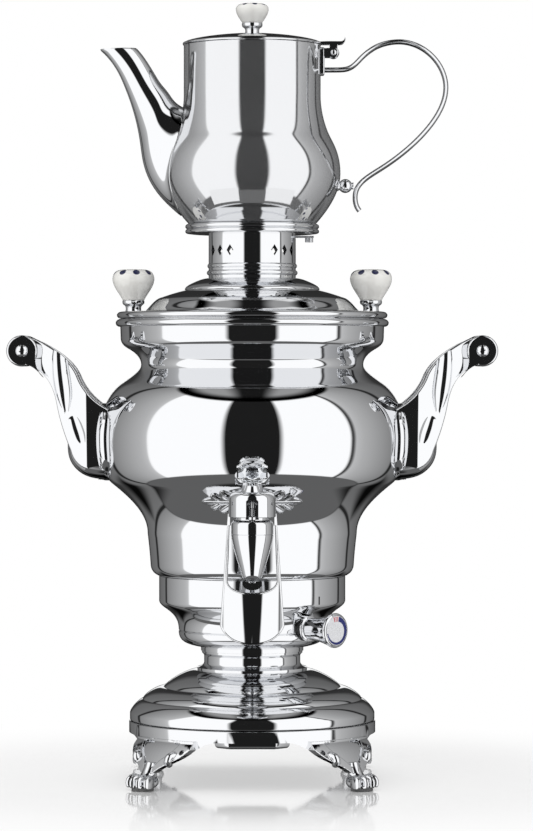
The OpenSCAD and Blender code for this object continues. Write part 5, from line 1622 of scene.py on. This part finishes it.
@dataclass
class Tap:
    """The tap: a tapered nozzle on a shank, and two cast leaves that lie on the tank beside it."""

    tank: Tank = field(default_factory=Tank)
    reach: float = 110.0
    z: float = 176.0
    tip: float = 135.5
    cone_h: float = 26.8
    nozzle_r: float = 13.1
    tip_r: float = 5.9
    outlet_r: float = 4.2
    shank_r: float = 7.5
    lift: float = 1.6
    leaf_z: float = 181.0
    leaf_l: float = 32.0

    def body(self) -> None:
        """Turn the nozzle and the barrel, and join them to the shank with its round flange."""
        tip, seam, top = self.tip, self.tip + self.cone_h, self.z - 4.6
        bore, end, wide = self.outlet_r, self.tip_r, self.nozzle_r
        outline = Outline([(0, seam - 2), (bore, seam - 2), (bore, tip + 0.4), (bore + 0.4, tip),
                           (end - 0.4, tip), (end, tip + 0.4)])
        outline.curve((end + 2.6, tip + 0.34 * self.cone_h), (wide - 0.9, tip + 0.7 * self.cone_h),
                      (wide, seam), 14)
        outline.line((wide - 0.35, seam + 0.25), (wide, seam + 0.5), (wide, top - 3))
        outline.curve((wide, top - 1.3), (wide - 1.2, top), (wide - 3, top), 8)
        outline.line((10.0, top), (10.0, self.z + 9), (9.0, self.z + 10), (0, self.z + 10))
        nozzle = place(spin("tap_nozzle", outline, 96), shift(0, -self.reach))
        gate = Outline([(-4, top + 0.4), (4, top + 0.4), (4, self.z + 8.4), (-4, self.z + 8.4)])
        combine("DIFFERENCE", nozzle, place(prism("gate", gate, self.reach + 4, self.reach + 16), UPRIGHT))
        spindle = Outline([(0, top), (2.6, top), (2.6, top + 2), (1.5, top + 2.6), (1.5, top + 7)])
        spindle.line((2.1, top + 7.5), (2.1, self.z + 8.6), (0, self.z + 8.6))
        nozzle = join(nozzle, place(spin("spindle", spindle, 32), shift(0, -self.reach - 7.4)))
        wall = self.tank.outline().radius_at(self.z)
        r = self.shank_r
        shank = Outline([(0, wall - 12), (r, wall - 12), (r, self.reach), (0, self.reach)])
        shank = place(spin("shank", shank, 64), shift(z=self.z) @ FORWARDS)
        flange = Outline([(r - 0.5, wall - 3), (r + 3, wall - 3), (r + 3, wall + 4.5)])
        flange.arc((r + 1.8, wall + 4.5), 1.2, 0, 90, 5).line((r - 0.5, wall + 5.7))
        flange = place(spin("flange", flange, 64, closed=True), shift(z=self.z) @ FORWARDS)
        hand_over(join(nozzle, shank, flange), MIRROR, Body.URN, "tap_body")

    def leaf(self) -> Piece:
        """Build the right leaf flat: three lobes on a tapering stem, with a raised vein in each.

        Returns:
            The leaf, its stem at the origin and its tip at +X.
        """
        made = [bead("stem", (17, 3.2, 1.6), (11, 0, 0)),
                bead("tip", (12, 3.0, 1.5), (self.leaf_l - 11.6, 0, 0))]
        lobes = ((7.5, 6.2, 30, 3.2), (15.5, 6.2, 36, 3.3), (22.5, 4.4, 30, 2.5))
        for side in (-1, 1):
            for along, length, lean, wide in lobes:
                lobe = bead("lobe", (length, wide, 1.35), (0, 0, 0), 24)
                place(lobe, shift(along, side * (3.6 - 0.06 * along), 0.1) @ turn(side * lean, "Z"))
                vein = bead("vein", (length * 0.9, 0.5, 0.9), (0, 0, 0), 16)
                place(vein, shift(along, side * (3.6 - 0.06 * along), 1.0) @ turn(side * lean, "Z"))
                made += [lobe, vein]
        made.append(bead("rib", (self.leaf_l / 2, 0.7, 0.9), (self.leaf_l / 2 - 0.6, 0, 1.3)))
        return cast(join(*made), 0.3, 2)

    def leaves(self) -> None:
        """Lay both leaves on the tank, bent to its round."""
        skin = self.tank.outline()
        right = place(self.leaf(), turn(90, "X"))
        left = copy_of(right, "left", stretch(-1, 1, 1))
        both = join(right, left)
        both.name = "tap_leaves"
        for vertex in both.data.vertices:
            across, proud, z = vertex.co.x, -vertex.co.y + 0.35 * MM, vertex.co.z + self.leaf_z * MM
            radius = skin.radius_at(z / MM) * MM
            around = across / radius
            reach = radius + max(proud, -1.0 * MM)
            vertex.co = (reach * math.sin(around), -reach * math.cos(around), z)
        hand_over(both, MIRROR, Body.URN, "tap_escutcheon", angle=60)

    def spring(self) -> None:
        """Wind the closing spring again as a coil of round wire, sized to the frame's spring."""
        low, high = (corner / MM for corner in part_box("tap_spring"))
        wire_r, turns, steps, play = 0.45, 5, 16, 0.05
        radius, height = (high.x - low.x) / 2 - wire_r, high.z - low.z - 2 * wire_r
        points = []
        for i in range(turns * steps + 1):
            around = math.tau * i / steps
            points.append((radius * math.cos(around), radius * math.sin(around) - self.reach,
                           low.z + wire_r + height * i / (turns * steps)))
        coil = rod("tap_spring_coil", points, wire_r, 2)
        hand_over(coil, PLAIN, Body.URN, "tap_spring")
        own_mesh(coil)

    def build(self) -> None:
        """Build the tap's fixed parts and its spring."""
        self.body()
        self.leaves()
        self.spring()


@dataclass
class Lever:
    """The push lever: a cap over the barrel, a wide curved tongue, a neck and a cut crystal grip.

    Everything is set out about the barrel's axis. The tongue is bent about an axis that leans by tilt,
    and its face lies bend_in behind the barrel's axis at the cap's lower edge.
    """

    reach: float = 110.0
    cap_z: float = 173.1
    cap_top: float = 188.7
    cap_r: float = 14.6
    tongue_w: float = 40.0
    tongue_h: float = 79.5
    tongue_t: float = 2.0
    bend_r: float = 30.0
    bend_in: float = 2.4
    tilt: float = 9.0
    window_h: float = 47.0
    window_half: float = 13.7
    crystal_w: float = 18.9
    crystal_z: float = 194.3
    crystal_h: float = 12.0

    def cap(self) -> Piece:
        """Turn the hollow cap and cut the slot in its front.

        Returns:
            The cap.
        """
        r, low, top = self.cap_r, self.cap_z, self.cap_top
        outline = Outline([(r - 1.2, low + 0.2), (r - 1, low), (r - 0.2, low), (r, low + 0.3)])
        outline.line((r, top - 4.5)).curve((r, top - 1.8), (r - 1.8, top), (r - 4.5, top), 10)
        outline.line((0, top), (0, top - 1.2), (r - 1.2, top - 1.2))
        cap = spin("cap", outline, 96, closed=True)
        slot = Outline([(-3.7, low - 2), (3.7, low - 2), (3.7, low + 7)]).arc((0, low + 7), 3.7, 0, 180, 12)
        slot.line((-3.7, low + 7))
        combine("DIFFERENCE", cap, place(prism("slot", slot, 5, 30), UPRIGHT))
        back = Outline([(-8.4, low - 2), (8.4, low - 2), (8.4, low + 12.9), (-8.4, low + 12.9)])
        combine("DIFFERENCE", cap, place(prism("back", back, -30, -2), UPRIGHT))
        return place(soften(cap, 0.25, 2, 60), shift(0, -self.reach))

    def tongue(self) -> Piece:
        """Cut the tongue and its window out of a curved plate.

        Returns:
            The tongue with its beads.
        """
        low, cap, wide = self.cap_z - self.tongue_h, self.cap_z, self.tongue_w / 2
        half = Outline([(0, low)]).curve((wide / 2, low), (wide - 3, low + 4), (wide, low + 11.5), 12)
        half.curve((wide - 1.5, low + 30), (self.cap_r + 2.6, cap - 30), (self.cap_r + 0.3, cap + 2), 12)
        blank = prism("tongue", Outline(half.points + [(0, cap + 2)]).mirrored(), 70, 130)
        w, sill = self.window_half, cap - self.window_h
        opening = Outline([(0, sill)]).curve((w * 0.55, sill), (w + 1.2, sill + 2), (w + 1.4, sill + 8), 12)
        opening.line((w + 0.6, cap - 25), (w, cap - 5), (w, cap + 3))
        cutter = prism("opening", Outline(opening.points + [(0, cap + 3)]).mirrored(), 60, 140)
        place(combine("DIFFERENCE", blank, cutter), UPRIGHT)
        near, far = self.bend_r - self.tongue_t, self.bend_r
        shell = spin("bend", Outline([(near, -110), (far, -110), (far, 30), (near, 30)]), 160, closed=True)
        place(shell, shift(0, -self.reach + self.bend_r - self.bend_in, cap) @ turn(self.tilt, "X"))
        soften(combine("INTERSECT", blank, shell), 0.45, 3, 40)
        rims = [self.bead_along(line) for line in (half.beside(0.65), opening.beside(-0.6))]
        return join(blank, *rims)

    def bead_along(self, half: Outline) -> Piece:
        """Lay a fine bead on the tongue's face along one half of an outline and its mirror image.

        Args:
            half: The right-hand half of the outline.

        Returns:
            The bead.
        """
        tilt, points = math.radians(self.tilt), []
        for x, z in [(-x, z) for x, z in reversed(half.points)] + half.points:
            # The bead starts below the cap, and its middle point would meet its own mirror image.
            if z > self.cap_z - 2 or abs(x) < 0.5:
                continue
            back = -math.sqrt(self.bend_r**2 - x * x)
            along = (z - self.cap_z - back * math.sin(tilt)) / math.cos(tilt)
            y = self.bend_r - self.bend_in - self.reach + back * math.cos(tilt) - along * math.sin(tilt)
            points.append((x, y + 0.15, z))
        return rod("rim", points, 0.62, 3)

    def neck(self) -> None:
        """Turn the neck that carries the crystal."""
        top = self.cap_top
        outline = Outline([(0, top - 0.5), (5.4, top - 0.5), (5.4, top + 0.3)])
        outline.curve((4.9, top + 2.4), (4.0, top + 4.4), (3.4, top + 6), 8)
        outline.line((3.4, top + 7.4), (0, top + 7.4))
        neck = place(spin("neck_of_lever", outline, 64), shift(0, -self.reach))
        hand_over(neck, MIRROR, Body.LEVER, "lever_neck")

    def crystal(self) -> None:
        """Cut the crystal: an octagonal block with facets round both ends and a notch across its top."""
        bpy.ops.object.select_all(action="DESELECT")
        wide, low, high = self.crystal_w / 2, self.crystal_z, self.crystal_z + self.crystal_h
        radius, middle = wide / math.cos(math.pi / 8), low + self.crystal_h / 2
        bpy.ops.mesh.primitive_cylinder_add(vertices=8, radius=radius * MM, depth=self.crystal_h * MM)
        block = bpy.context.object
        block.name = "crystal"
        place(block, shift(0, 0, middle) @ turn(22.5, "Z"))
        with editing(block):
            for i in range(8):
                around = math.radians(45 * i + 22.5)
                side = Vector((math.cos(around), math.sin(around), 0))
                for end, lean, inset in ((low, -1.15, 0.30), (high, 1.35, 0.34)):
                    normal = (side + Vector((0, 0, lean))).normalized()
                    spot = side * (wide * (1 - inset)) + Vector((0, 0, end))
                    bpy.ops.mesh.select_all(action="SELECT")
                    bpy.ops.mesh.bisect(plane_co=spot * MM, plane_no=normal, clear_outer=True, use_fill=True)
        notch = Outline([(0, high - 1.8), (wide, high + 1), (-wide, high + 1)])
        combine("DIFFERENCE", block, place(prism("notch", notch, -30, 30), UPRIGHT))
        foot = self.cap_top
        socket = Outline([(0, foot), (3.9, foot), (3.9, foot + 7.5), (0, foot + 7.5)])
        combine("DIFFERENCE", block, spin("socket", socket, 48))
        hand_over(place(block, shift(0, -self.reach)), CRYSTAL, Body.LEVER, "crystal_handle", angle=5)

    def build(self) -> None:
        """Build the lever with its neck and crystal."""
        lever = join(self.cap(), self.tongue())
        lever.name = "push_lever"
        hand_over(lever, MIRROR, Body.LEVER, "tap_lever", angle=25)
        self.neck()
        self.crystal()


# ---- lid, knobs and chimney


@dataclass
class Knob:
    """A porcelain knob with dots round its shoulder, on a turned ferrule."""

    name: str
    x: float
    z: float
    ferrule_h: float
    radius: float
    neck_r: float
    height: float
    ferrule_r: float
    body: Body
    node: str

    def build_knob(self) -> None:
        """Throw the knob: a cone that widens to a round shoulder and a flat crown."""
        r, n, h = self.radius, self.neck_r, self.height
        outline = Outline([(0, 0), (n - 0.4, 0), (n, 0.3)])
        outline.curve((n + 0.12 * r, 0.2 * h), (0.98 * r, 0.42 * h), (r, 0.68 * h), 14)
        outline.curve((r, 0.86 * h), (0.86 * r, 0.97 * h), (0.56 * r, 0.99 * h), 12)
        outline.curve((0.4 * r, h), (0.2 * r, h), (0, h), 4)
        low = self.z + self.ferrule_h
        knob = place(spin(self.name, outline, 72), shift(self.x, 0, low))
        glaze = DottedPorcelain(self.name + "_porcelain", "porcelain", "#EFEEEA", 0.0, 0.12,
                                (self.x, 0, low + 0.45 * h), 0.93 * r, 0.18 * r)
        hand_over(knob, glaze, self.body, self.node, angle=40)

    def ferrule(self) -> Piece:
        """Turn the ferrule: a foot, a waist and a cup under the knob.

        Returns:
            The ferrule.
        """
        r, h = self.ferrule_r, self.ferrule_h
        outline = Outline([(0, -0.4), (r - 1.9, -0.4), (r - 1.9, 0.4)])
        outline.curve((r - 2.2, 1.4), (r - 2.4, 3.0), (r - 1.6, 3.9), 8)
        outline.curve((r - 0.7, 4.5), (r, 5.0), (r, 5.8), 6).line((r, h - 0.3), (r - 0.3, h), (0, h))
        return place(spin(self.name + "_ferrule", outline, 64), shift(self.x, 0, self.z))


@dataclass
class Lid:
    """The lid: a rolled edge, a low dome in two tiers, and the chimney with its holder on top."""

    rim_r: float = 87.2
    z: float = 296.3
    roll_h: float = 4.4
    dome_r: float = 69.5
    dome_h: float = 13.8
    cap_r: float = 44.5
    cap_h: float = 8.0
    chimney_r: float = 28.1
    chimney_h: float = 28.2
    vent_w: float = 5.0
    vent_h: float = 7.2
    vent_pitch: float = 16.5
    dish_r: float = 43.2
    knob_reach: float = 76.6
    skirt_r: float = 82.4
    skirt_h: float = 10.0
    sheet: float = 1.2

    @property
    def top(self) -> float:
        """Height of the flat ring round the dome."""
        return self.z + self.roll_h

    @property
    def chimney_z(self) -> float:
        """Height of the chimney's foot."""
        return self.top + self.dome_h + self.cap_h

    def shell(self) -> None:
        """Spin the lid's dome and its rolled edge."""
        top, cap, half = self.top, self.top + self.dome_h, self.roll_h / 2
        out = Outline([(self.rim_r - 4.4, self.z), (self.rim_r - half, self.z)])
        out.arc((self.rim_r - half, self.z + half), half, -88, 88, 18)
        out.line((self.rim_r - 4.6, top), (self.dome_r + 1.2, top), (self.dome_r, top + 0.4))
        r, h = self.dome_r, self.dome_h
        out.curve((r - 2.6, top + 0.14 * h), (r - 5, top + 0.46 * h), (r - 9, top + 0.63 * h), 12)
        out.curve((r - 12.5, top + 0.735 * h), (self.cap_r + 6, cap - 1.4), (self.cap_r, cap), 12)
        r, h = self.cap_r, self.cap_h
        out.line((r - 0.6, cap + 0.1), (r - 1, cap + 0.07 * h))
        out.curve((r - 1, cap + 0.3 * h), (r - 4, cap + 0.5 * h), (r - 8, cap + 0.72 * h), 10)
        out.curve((r - 11, cap + 0.88 * h), (self.chimney_r + 3, self.chimney_z - 0.1),
                  (self.chimney_r - 0.4, self.chimney_z), 10)
        hand_over(spin("lid", out, 192, self.sheet), MIRROR, Body.LID, "lid_shell", angle=30)

    def skirt(self) -> None:
        """Spin the inner collar that centres the lid in the tank."""
        outline = Outline([(self.skirt_r, self.z - self.skirt_h), (self.skirt_r, self.z + 2)])
        hand_over(spin("lid_collar", outline, 128, self.sheet), MIRROR, Body.LID)

    def chimney(self) -> None:
        """Spin the chimney with its soft ridges and cut the diamond vents."""
        r, low, high = self.chimney_r, self.chimney_z, self.chimney_z + self.chimney_h
        out = Outline([(r, low - 1), (r, low + 1.6)]).roll((r, low + 5.0), 1.2, 8)
        out.line((r, low + 6.2)).roll((r, low + 9.2), 0.8, 8).line((r, high + 0.2))
        pipe = spin("chimney_pipe", out, 144, self.sheet)
        cutters = []
        w, h = self.vent_w / 2, self.vent_h / 2
        for group, lean in ((45, -0.12), (135, 0.12), (225, -0.12), (315, 0.12)):
            for i in (-1, 0, 1):
                cutter = prism("vent", Outline([(-h, 0), (0, -w), (h, 0), (0, w)]), r - 6, r + 6)
                spot = turn(group + (i + lean) * self.vent_pitch, "Z") @ shift(z=low + 0.62 * self.chimney_h)
                cutters.append(place(cutter, spot @ SIDEWAYS))
        combine("DIFFERENCE", pipe, *cutters)
        slot = Outline([(r - 5, high - 3), (r + 5, high - 3), (r + 5, high + 0.1), (r - 5, high + 0.1)])
        sector = spin("slot", slot, 30, closed=True, sweep=54)
        combine("DIFFERENCE", pipe, place(capped(sector), turn(-6, "Z")))
        hand_over(pipe, MIRROR, Body.LID, "chimney", angle=25)

    def holder(self) -> None:
        """Spin the dish that carries the teapot, with a double bead at its edge."""
        z, r = self.chimney_z + self.chimney_h, self.dish_r
        out = Outline([(18, z), (self.chimney_r + 4, z)])
        out.curve((self.chimney_r + 9, z), (r - 4, z - 0.3), (r - 1.8, z + 0.4), 10)
        out.arc((r - 1.5, z + 1.8), 1.5, -80, 62, 10).line((r - 1.3, z + 3.4))
        out.arc((r - 1.6, z + 4.9), 1.6, -62, 100, 12)
        dish = spin("teapot_dish", out, 128, self.sheet * 0.8)
        hand_over(dish, MIRROR, Body.LID, "teapot_holder", angle=30)

    def knobs(self) -> None:
        """Build both knobs and their ferrules."""
        ferrules = []
        for word, side in (("left", -1), ("right", 1)):
            knob = Knob("knob_" + word, x=side * self.knob_reach, z=self.top, ferrule_h=7.4, radius=13.5,
                        neck_r=7.1, height=20.0, ferrule_r=7.1, body=Body.LID, node="lid_knob_" + word)
            knob.build_knob()
            ferrules.append(knob.ferrule())
        both = join(*ferrules)
        both.name = "knob_ferrules"
        hand_over(both, MIRROR, Body.LID, "lid_knob_ferrules")

    def build(self) -> None:
        """Build the lid and all it carries."""
        self.shell()
        self.skirt()
        self.chimney()
        self.holder()
        self.knobs()


# ---- teapot


@dataclass
class Teapot:
    """The teapot: a pear-shaped body, a swan-neck spout, a strap handle on a ball and a hinged cover.

    The hinge and the strap's start are measured from the mouth, the ball from the foot and the belly.
    """

    foot_r: float = 36.0
    z: float = 352.2
    belly_r: float = 57.0
    belly_z: float = 389.52
    mouth_r: float = 44.2
    shoulder_z: float = 440.04
    mouth_z: float = 472.2
    strap_w: float = 9.0
    strap_t: float = 3.3
    strap_drop: float = 15.6
    ball_z: float = 29.6
    ball_out: float = 9.3
    hinge_out: float = 8.2
    hinge_drop: float = 4.7
    sheet: float = 1.2
    spout_sides: int = 40

    def outline(self) -> Outline:
        """Return the body's outer outline, from the foot to the mouth.

        Returns:
            The outline.
        """
        foot, belly = self.foot_r, self.belly_r
        out = Outline([(foot, self.z)])
        out.curve((foot + 4.5, self.z + 4.1), (belly, self.belly_z - 16.5), (belly, self.belly_z), 18)
        out.ogee((self.mouth_r, self.shoulder_z), (0.5, 0.465), 2.1, (0.21, 0.13, 0.13, 0.2), 18)
        return out.line((self.mouth_r, self.mouth_z))

    def body(self) -> None:
        """Spin the body with its flat bottom."""
        points = [(0, self.z + 0.01), (self.foot_r - 0.6, self.z + 0.01), *self.outline().points]
        body = spin("teapot_body", Outline(points), 192, self.sheet)
        hand_over(body, SOFT_MIRROR, Body.TEAPOT, "teapot_shell", angle=28)

    def spout(self) -> None:
        """Loft the spout through ovals between its lower and upper outlines."""
        skin, foot, mid, tip = self.outline(), self.z, self.belly_z, self.mouth_z - 1.8
        b, m, reach = -self.belly_r, -self.mouth_r, -self.belly_r - 40.7
        low = Outline([(-skin.radius_at(foot + 10.3) + 1.2, foot + 10.3)])
        low.curve((b - 3, mid - 15.5), (b - 11.5, mid - 3.5), (b - 13.5, mid + 13.5), 8)
        low.curve((b - 15.2, mid + 30.5), (b - 19, tip - 36.5), (b - 25.9, tip - 20.5), 8)
        low.curve((b - 29.5, tip - 12), (b - 34.5, tip - 5), (reach, tip), 8)
        high = Outline([(-skin.radius_at(foot + 79) + 1.2, foot + 79)])
        high.curve((m - 3.6, foot + 80.4), (m - 7, foot + 83.2), (m - 9.9, foot + 88), 8)
        high.curve((m - 12.6, foot + 92), (m - 14.6, tip - 25), (m - 17.4, tip - 20.5), 8)
        high.curve((m - 22.3, tip - 12.5), (m - 26, tip - 5.5), (reach + 21.9, tip), 8)
        count = len(low.points) - 1
        ovals = []
        for i, (under, over) in enumerate(zip(low.points, high.points)):
            t = i / count
            half = 15.5 * (1 - t) ** 1.6 + 6.2 + 1.2 * t**6
            ring = []
            for j in range(self.spout_sides):
                around = math.tau * j / self.spout_sides
                swing = (1 - math.cos(around)) / 2
                x, z = (start + (end - start) * swing for start, end in zip(under, over))
                y = half * math.sin(around)
                wall = skin.radius_at(z) if z < self.mouth_z else self.mouth_r
                face = -math.sqrt(max((wall - 0.6) ** 2 - y * y, 0))
                ring.append((face if i == 0 else min(x, face), y, z))
            ovals.append(wire("oval", ring, closed=True))
        spout = join(*ovals)
        spout.name = "spout"
        with editing(spout):
            bpy.ops.mesh.bridge_edge_loops()
        outward(spout)
        modify(spout, "SOLIDIFY", thickness=1.1 * MM, offset=-1, use_even_offset=True)
        modify(spout, "SUBSURF", levels=1, render_levels=1)
        hand_over(spout, MIRROR, Body.TEAPOT, "teapot_spout", angle=50)

    def strap_path(self) -> Outline:
        """Return the middle line of the handle's strap.

        Returns:
            The line, from the bracket to the free end.
        """
        m, b, mid = self.mouth_r, self.belly_r, self.belly_z
        s, ball, out = self.mouth_z - self.strap_drop, self.z + self.ball_z, self.ball_out
        line = Outline([(m + 0.6, s), (m + 12, s)])
        line.curve((m + 23, s), (m + 22.5, s + 6.5), (m + 32.4, s + 12.9), 10)
        line.curve((m + 38, s + 17), (m + 47, s + 18.8), (m + 53.8, s + 18), 10)
        line.curve((b + 55, s + 16.5), (b + 68, s + 3.5), (b + 68, s - 11.7), 12)
        line.curve((b + 68, mid + 35.5), (b + 43, mid + 14.5), (b + 28.7, mid + 5.2), 12)
        line.curve((b + 18, mid - 1.8), (b + out, ball + 2.2), (b + out, ball - 7), 10)
        return line.curve((b + out, ball - 10), (b + 10, ball - 14), (b + 12.2, ball - 16), 6)

    def handle(self) -> None:
        """Bend the strap, and build its bracket and the ears of the hinge."""
        strap = rod("strap", [(x, 0, z) for x, z in self.strap_path().points], self.strap_t / 2, 10)
        place(strap, stretch(1, self.strap_w / self.strap_t, 1))
        m, low, top = self.mouth_r, self.mouth_z - self.strap_drop - 3.4, self.mouth_z
        plate = Outline([(-6, low), (6, low), (6, top - 2.4), (4.6, top - 1.2), (-4.6, top - 1.2),
                         (-6, top - 2.4)])
        plate = soften(place(prism("plate", plate, m - 1, m + 2.4), ACROSS), 0.8, 3)
        x, z = m + self.hinge_out, top - self.hinge_drop
        ear = Outline([(m + 0.5, z - 2.8), (x - 1, z - 2.8)]).arc((x, z), 3.2, -100, 100, 16)
        ear.line((m + 0.5, z + 2.6))
        ears = [soften(place(prism("ear", ear, near, near + 2.6), UPRIGHT), 0.4) for near in (-5.9, 3.3)]
        handle = join(strap, plate, *ears)
        handle.name = "strap_handle"
        hand_over(handle, MIRROR, Body.TEAPOT, "teapot_handle")

    def ball(self) -> None:
        """Turn the ball that holds the strap off the belly, with a collar on each side."""
        z = self.z + self.ball_z
        middle = self.belly_r + self.ball_out - self.strap_t / 2 - 4.6
        seat = self.outline().radius_at(z) - middle
        out = Outline([(0, seat - 1), (3.4, seat - 1), (2.6, seat + 0.6), (2.0, -4.2)])
        out.arc((0, 0), 4.5, -62, 62, 20)
        out.line((2.0, 4.2), (2.4, 5.2), (0, 5.2))
        ball = place(spin("handle_ball_turned", out, 64), shift(middle, 0, z) @ SIDEWAYS)
        hand_over(ball, MIRROR, Body.TEAPOT, "handle_ball")

    def pin(self) -> None:
        """Turn the hinge pin with a small round head at each end."""
        pin = Outline([(0, -6.9)]).curve((1.2, -6.9), (1.9, -6.5), (1.9, -5.9), 5)
        pin.line((1.2, -5.9), (1.2, 5.9), (1.9, 5.9)).curve((1.9, 6.5), (1.2, 6.9), (0, 6.9), 5)
        spot = shift(self.mouth_r + self.hinge_out, 0, self.mouth_z - self.hinge_drop) @ FORWARDS
        hand_over(place(spin("hinge_pin_turned", pin, 32), spot), MIRROR, Body.TEAPOT, "hinge_pin")

    def cover(self) -> None:
        """Spin the cover and add its tail, thumb tab and knuckle."""
        z, m, edge = self.mouth_z + 0.3, self.mouth_r, 2.3
        top = z + edge + 4.8
        out = Outline([(40.5, z - 7), (41.6, z - 7), (41.6, z), (m + 0.2, z)])
        out.arc((m - 0.2, z + 0.9), 0.9, -80, 80, 8).line((m - 0.8, z + edge - 0.1))
        out.curve((m - 6, z + edge + 2), (24, top - 0.9), (16, top - 0.3), 12).line((0, top), (0, top - 1.2))
        out.line((16, top - 1.5), (40.5, z + 0.6))
        cover = spin("cover", out, 160, closed=True)
        x, hinge = m + self.hinge_out, self.mouth_z - self.hinge_drop
        tail = Outline([(m - 2, z + 0.3), (m - 2, z + 2.2)])
        tail.curve((m + 4, z + 2.7), (x, z + 2.5), (x + 4.6, z + 2.5), 8)
        tail.curve((x + 6.2, z + 2.6), (x + 7.0, z + 3.6), (x + 7.4, z + 5.4), 6)
        tail.curve((x + 8.4, z + 3.6), (x + 7.2, z + 0.6), (x + 4.6, z + 0.4), 8)
        tail.line((x + 2.6, z + 0.2), (x + 2.6, hinge), (x - 2.6, hinge), (x - 2.6, z + 0.3))
        tail = soften(place(prism("tail", tail, -3, 3), UPRIGHT), 0.5, 3)
        knuckle = Outline([(0, -3), (3.3, -3), (3.7, -2.6), (3.7, 2.6), (3.3, 3), (0, 3)])
        knuckle = place(spin("knuckle", knuckle, 48), shift(x, 0, hinge) @ FORWARDS)
        whole = join(cover, tail, knuckle)
        whole.name = "teapot_cover_piece"
        hand_over(whole, MIRROR, Body.COVER, "teapot_lid", angle=30)
        knob = Knob("teapot_knob_piece", x=0, z=top, ferrule_h=7.4, radius=10.6, neck_r=6.6, height=12.5,
                    ferrule_r=6.65, body=Body.COVER, node="teapot_knob")
        knob.build_knob()
        hand_over(knob.ferrule(), MIRROR, Body.COVER, "teapot_ferrule")

    def build(self) -> None:
        """Build the whole teapot."""
        self.body()
        self.spout()
        self.handle()
        self.ball()
        self.pin()
        self.cover()


# ---- the rest of the frame


def dress_frame(frame: dict) -> None:
    """Give every solid of the frame that still shows the finish of its slot.

    Args:
        frame: The frame, as loaded.
    """
    kinds = (MIRROR, PLAIN, BRASS, FOOT_RUBBER, SEAL_RUBBER, DARK_PLASTIC, STEATITE, CRYSTAL)
    finishes = {finish.slot: finish for finish in kinds}
    for part in frame["record"]["subparts"]:
        finish = finishes.get(part["material_slot"])
        node = frame["nodes"].get(part["node"])
        if finish and node:
            for slot in node.material_slots:
                slot.material = finish.material()


def main() -> None:
    """Load the frame, build the samovar and its studio, and log the faces of each piece."""
    logging.basicConfig(level=logging.INFO, format="%(message)s")
    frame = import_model()
    dress_frame(frame)
    for kind in (Studio, Base, Leg, Housing, Dial, Tank, SideHandle, Tap, Lever, Lid, Teapot):
        kind().build()


if __name__ == "__main__":
    main()
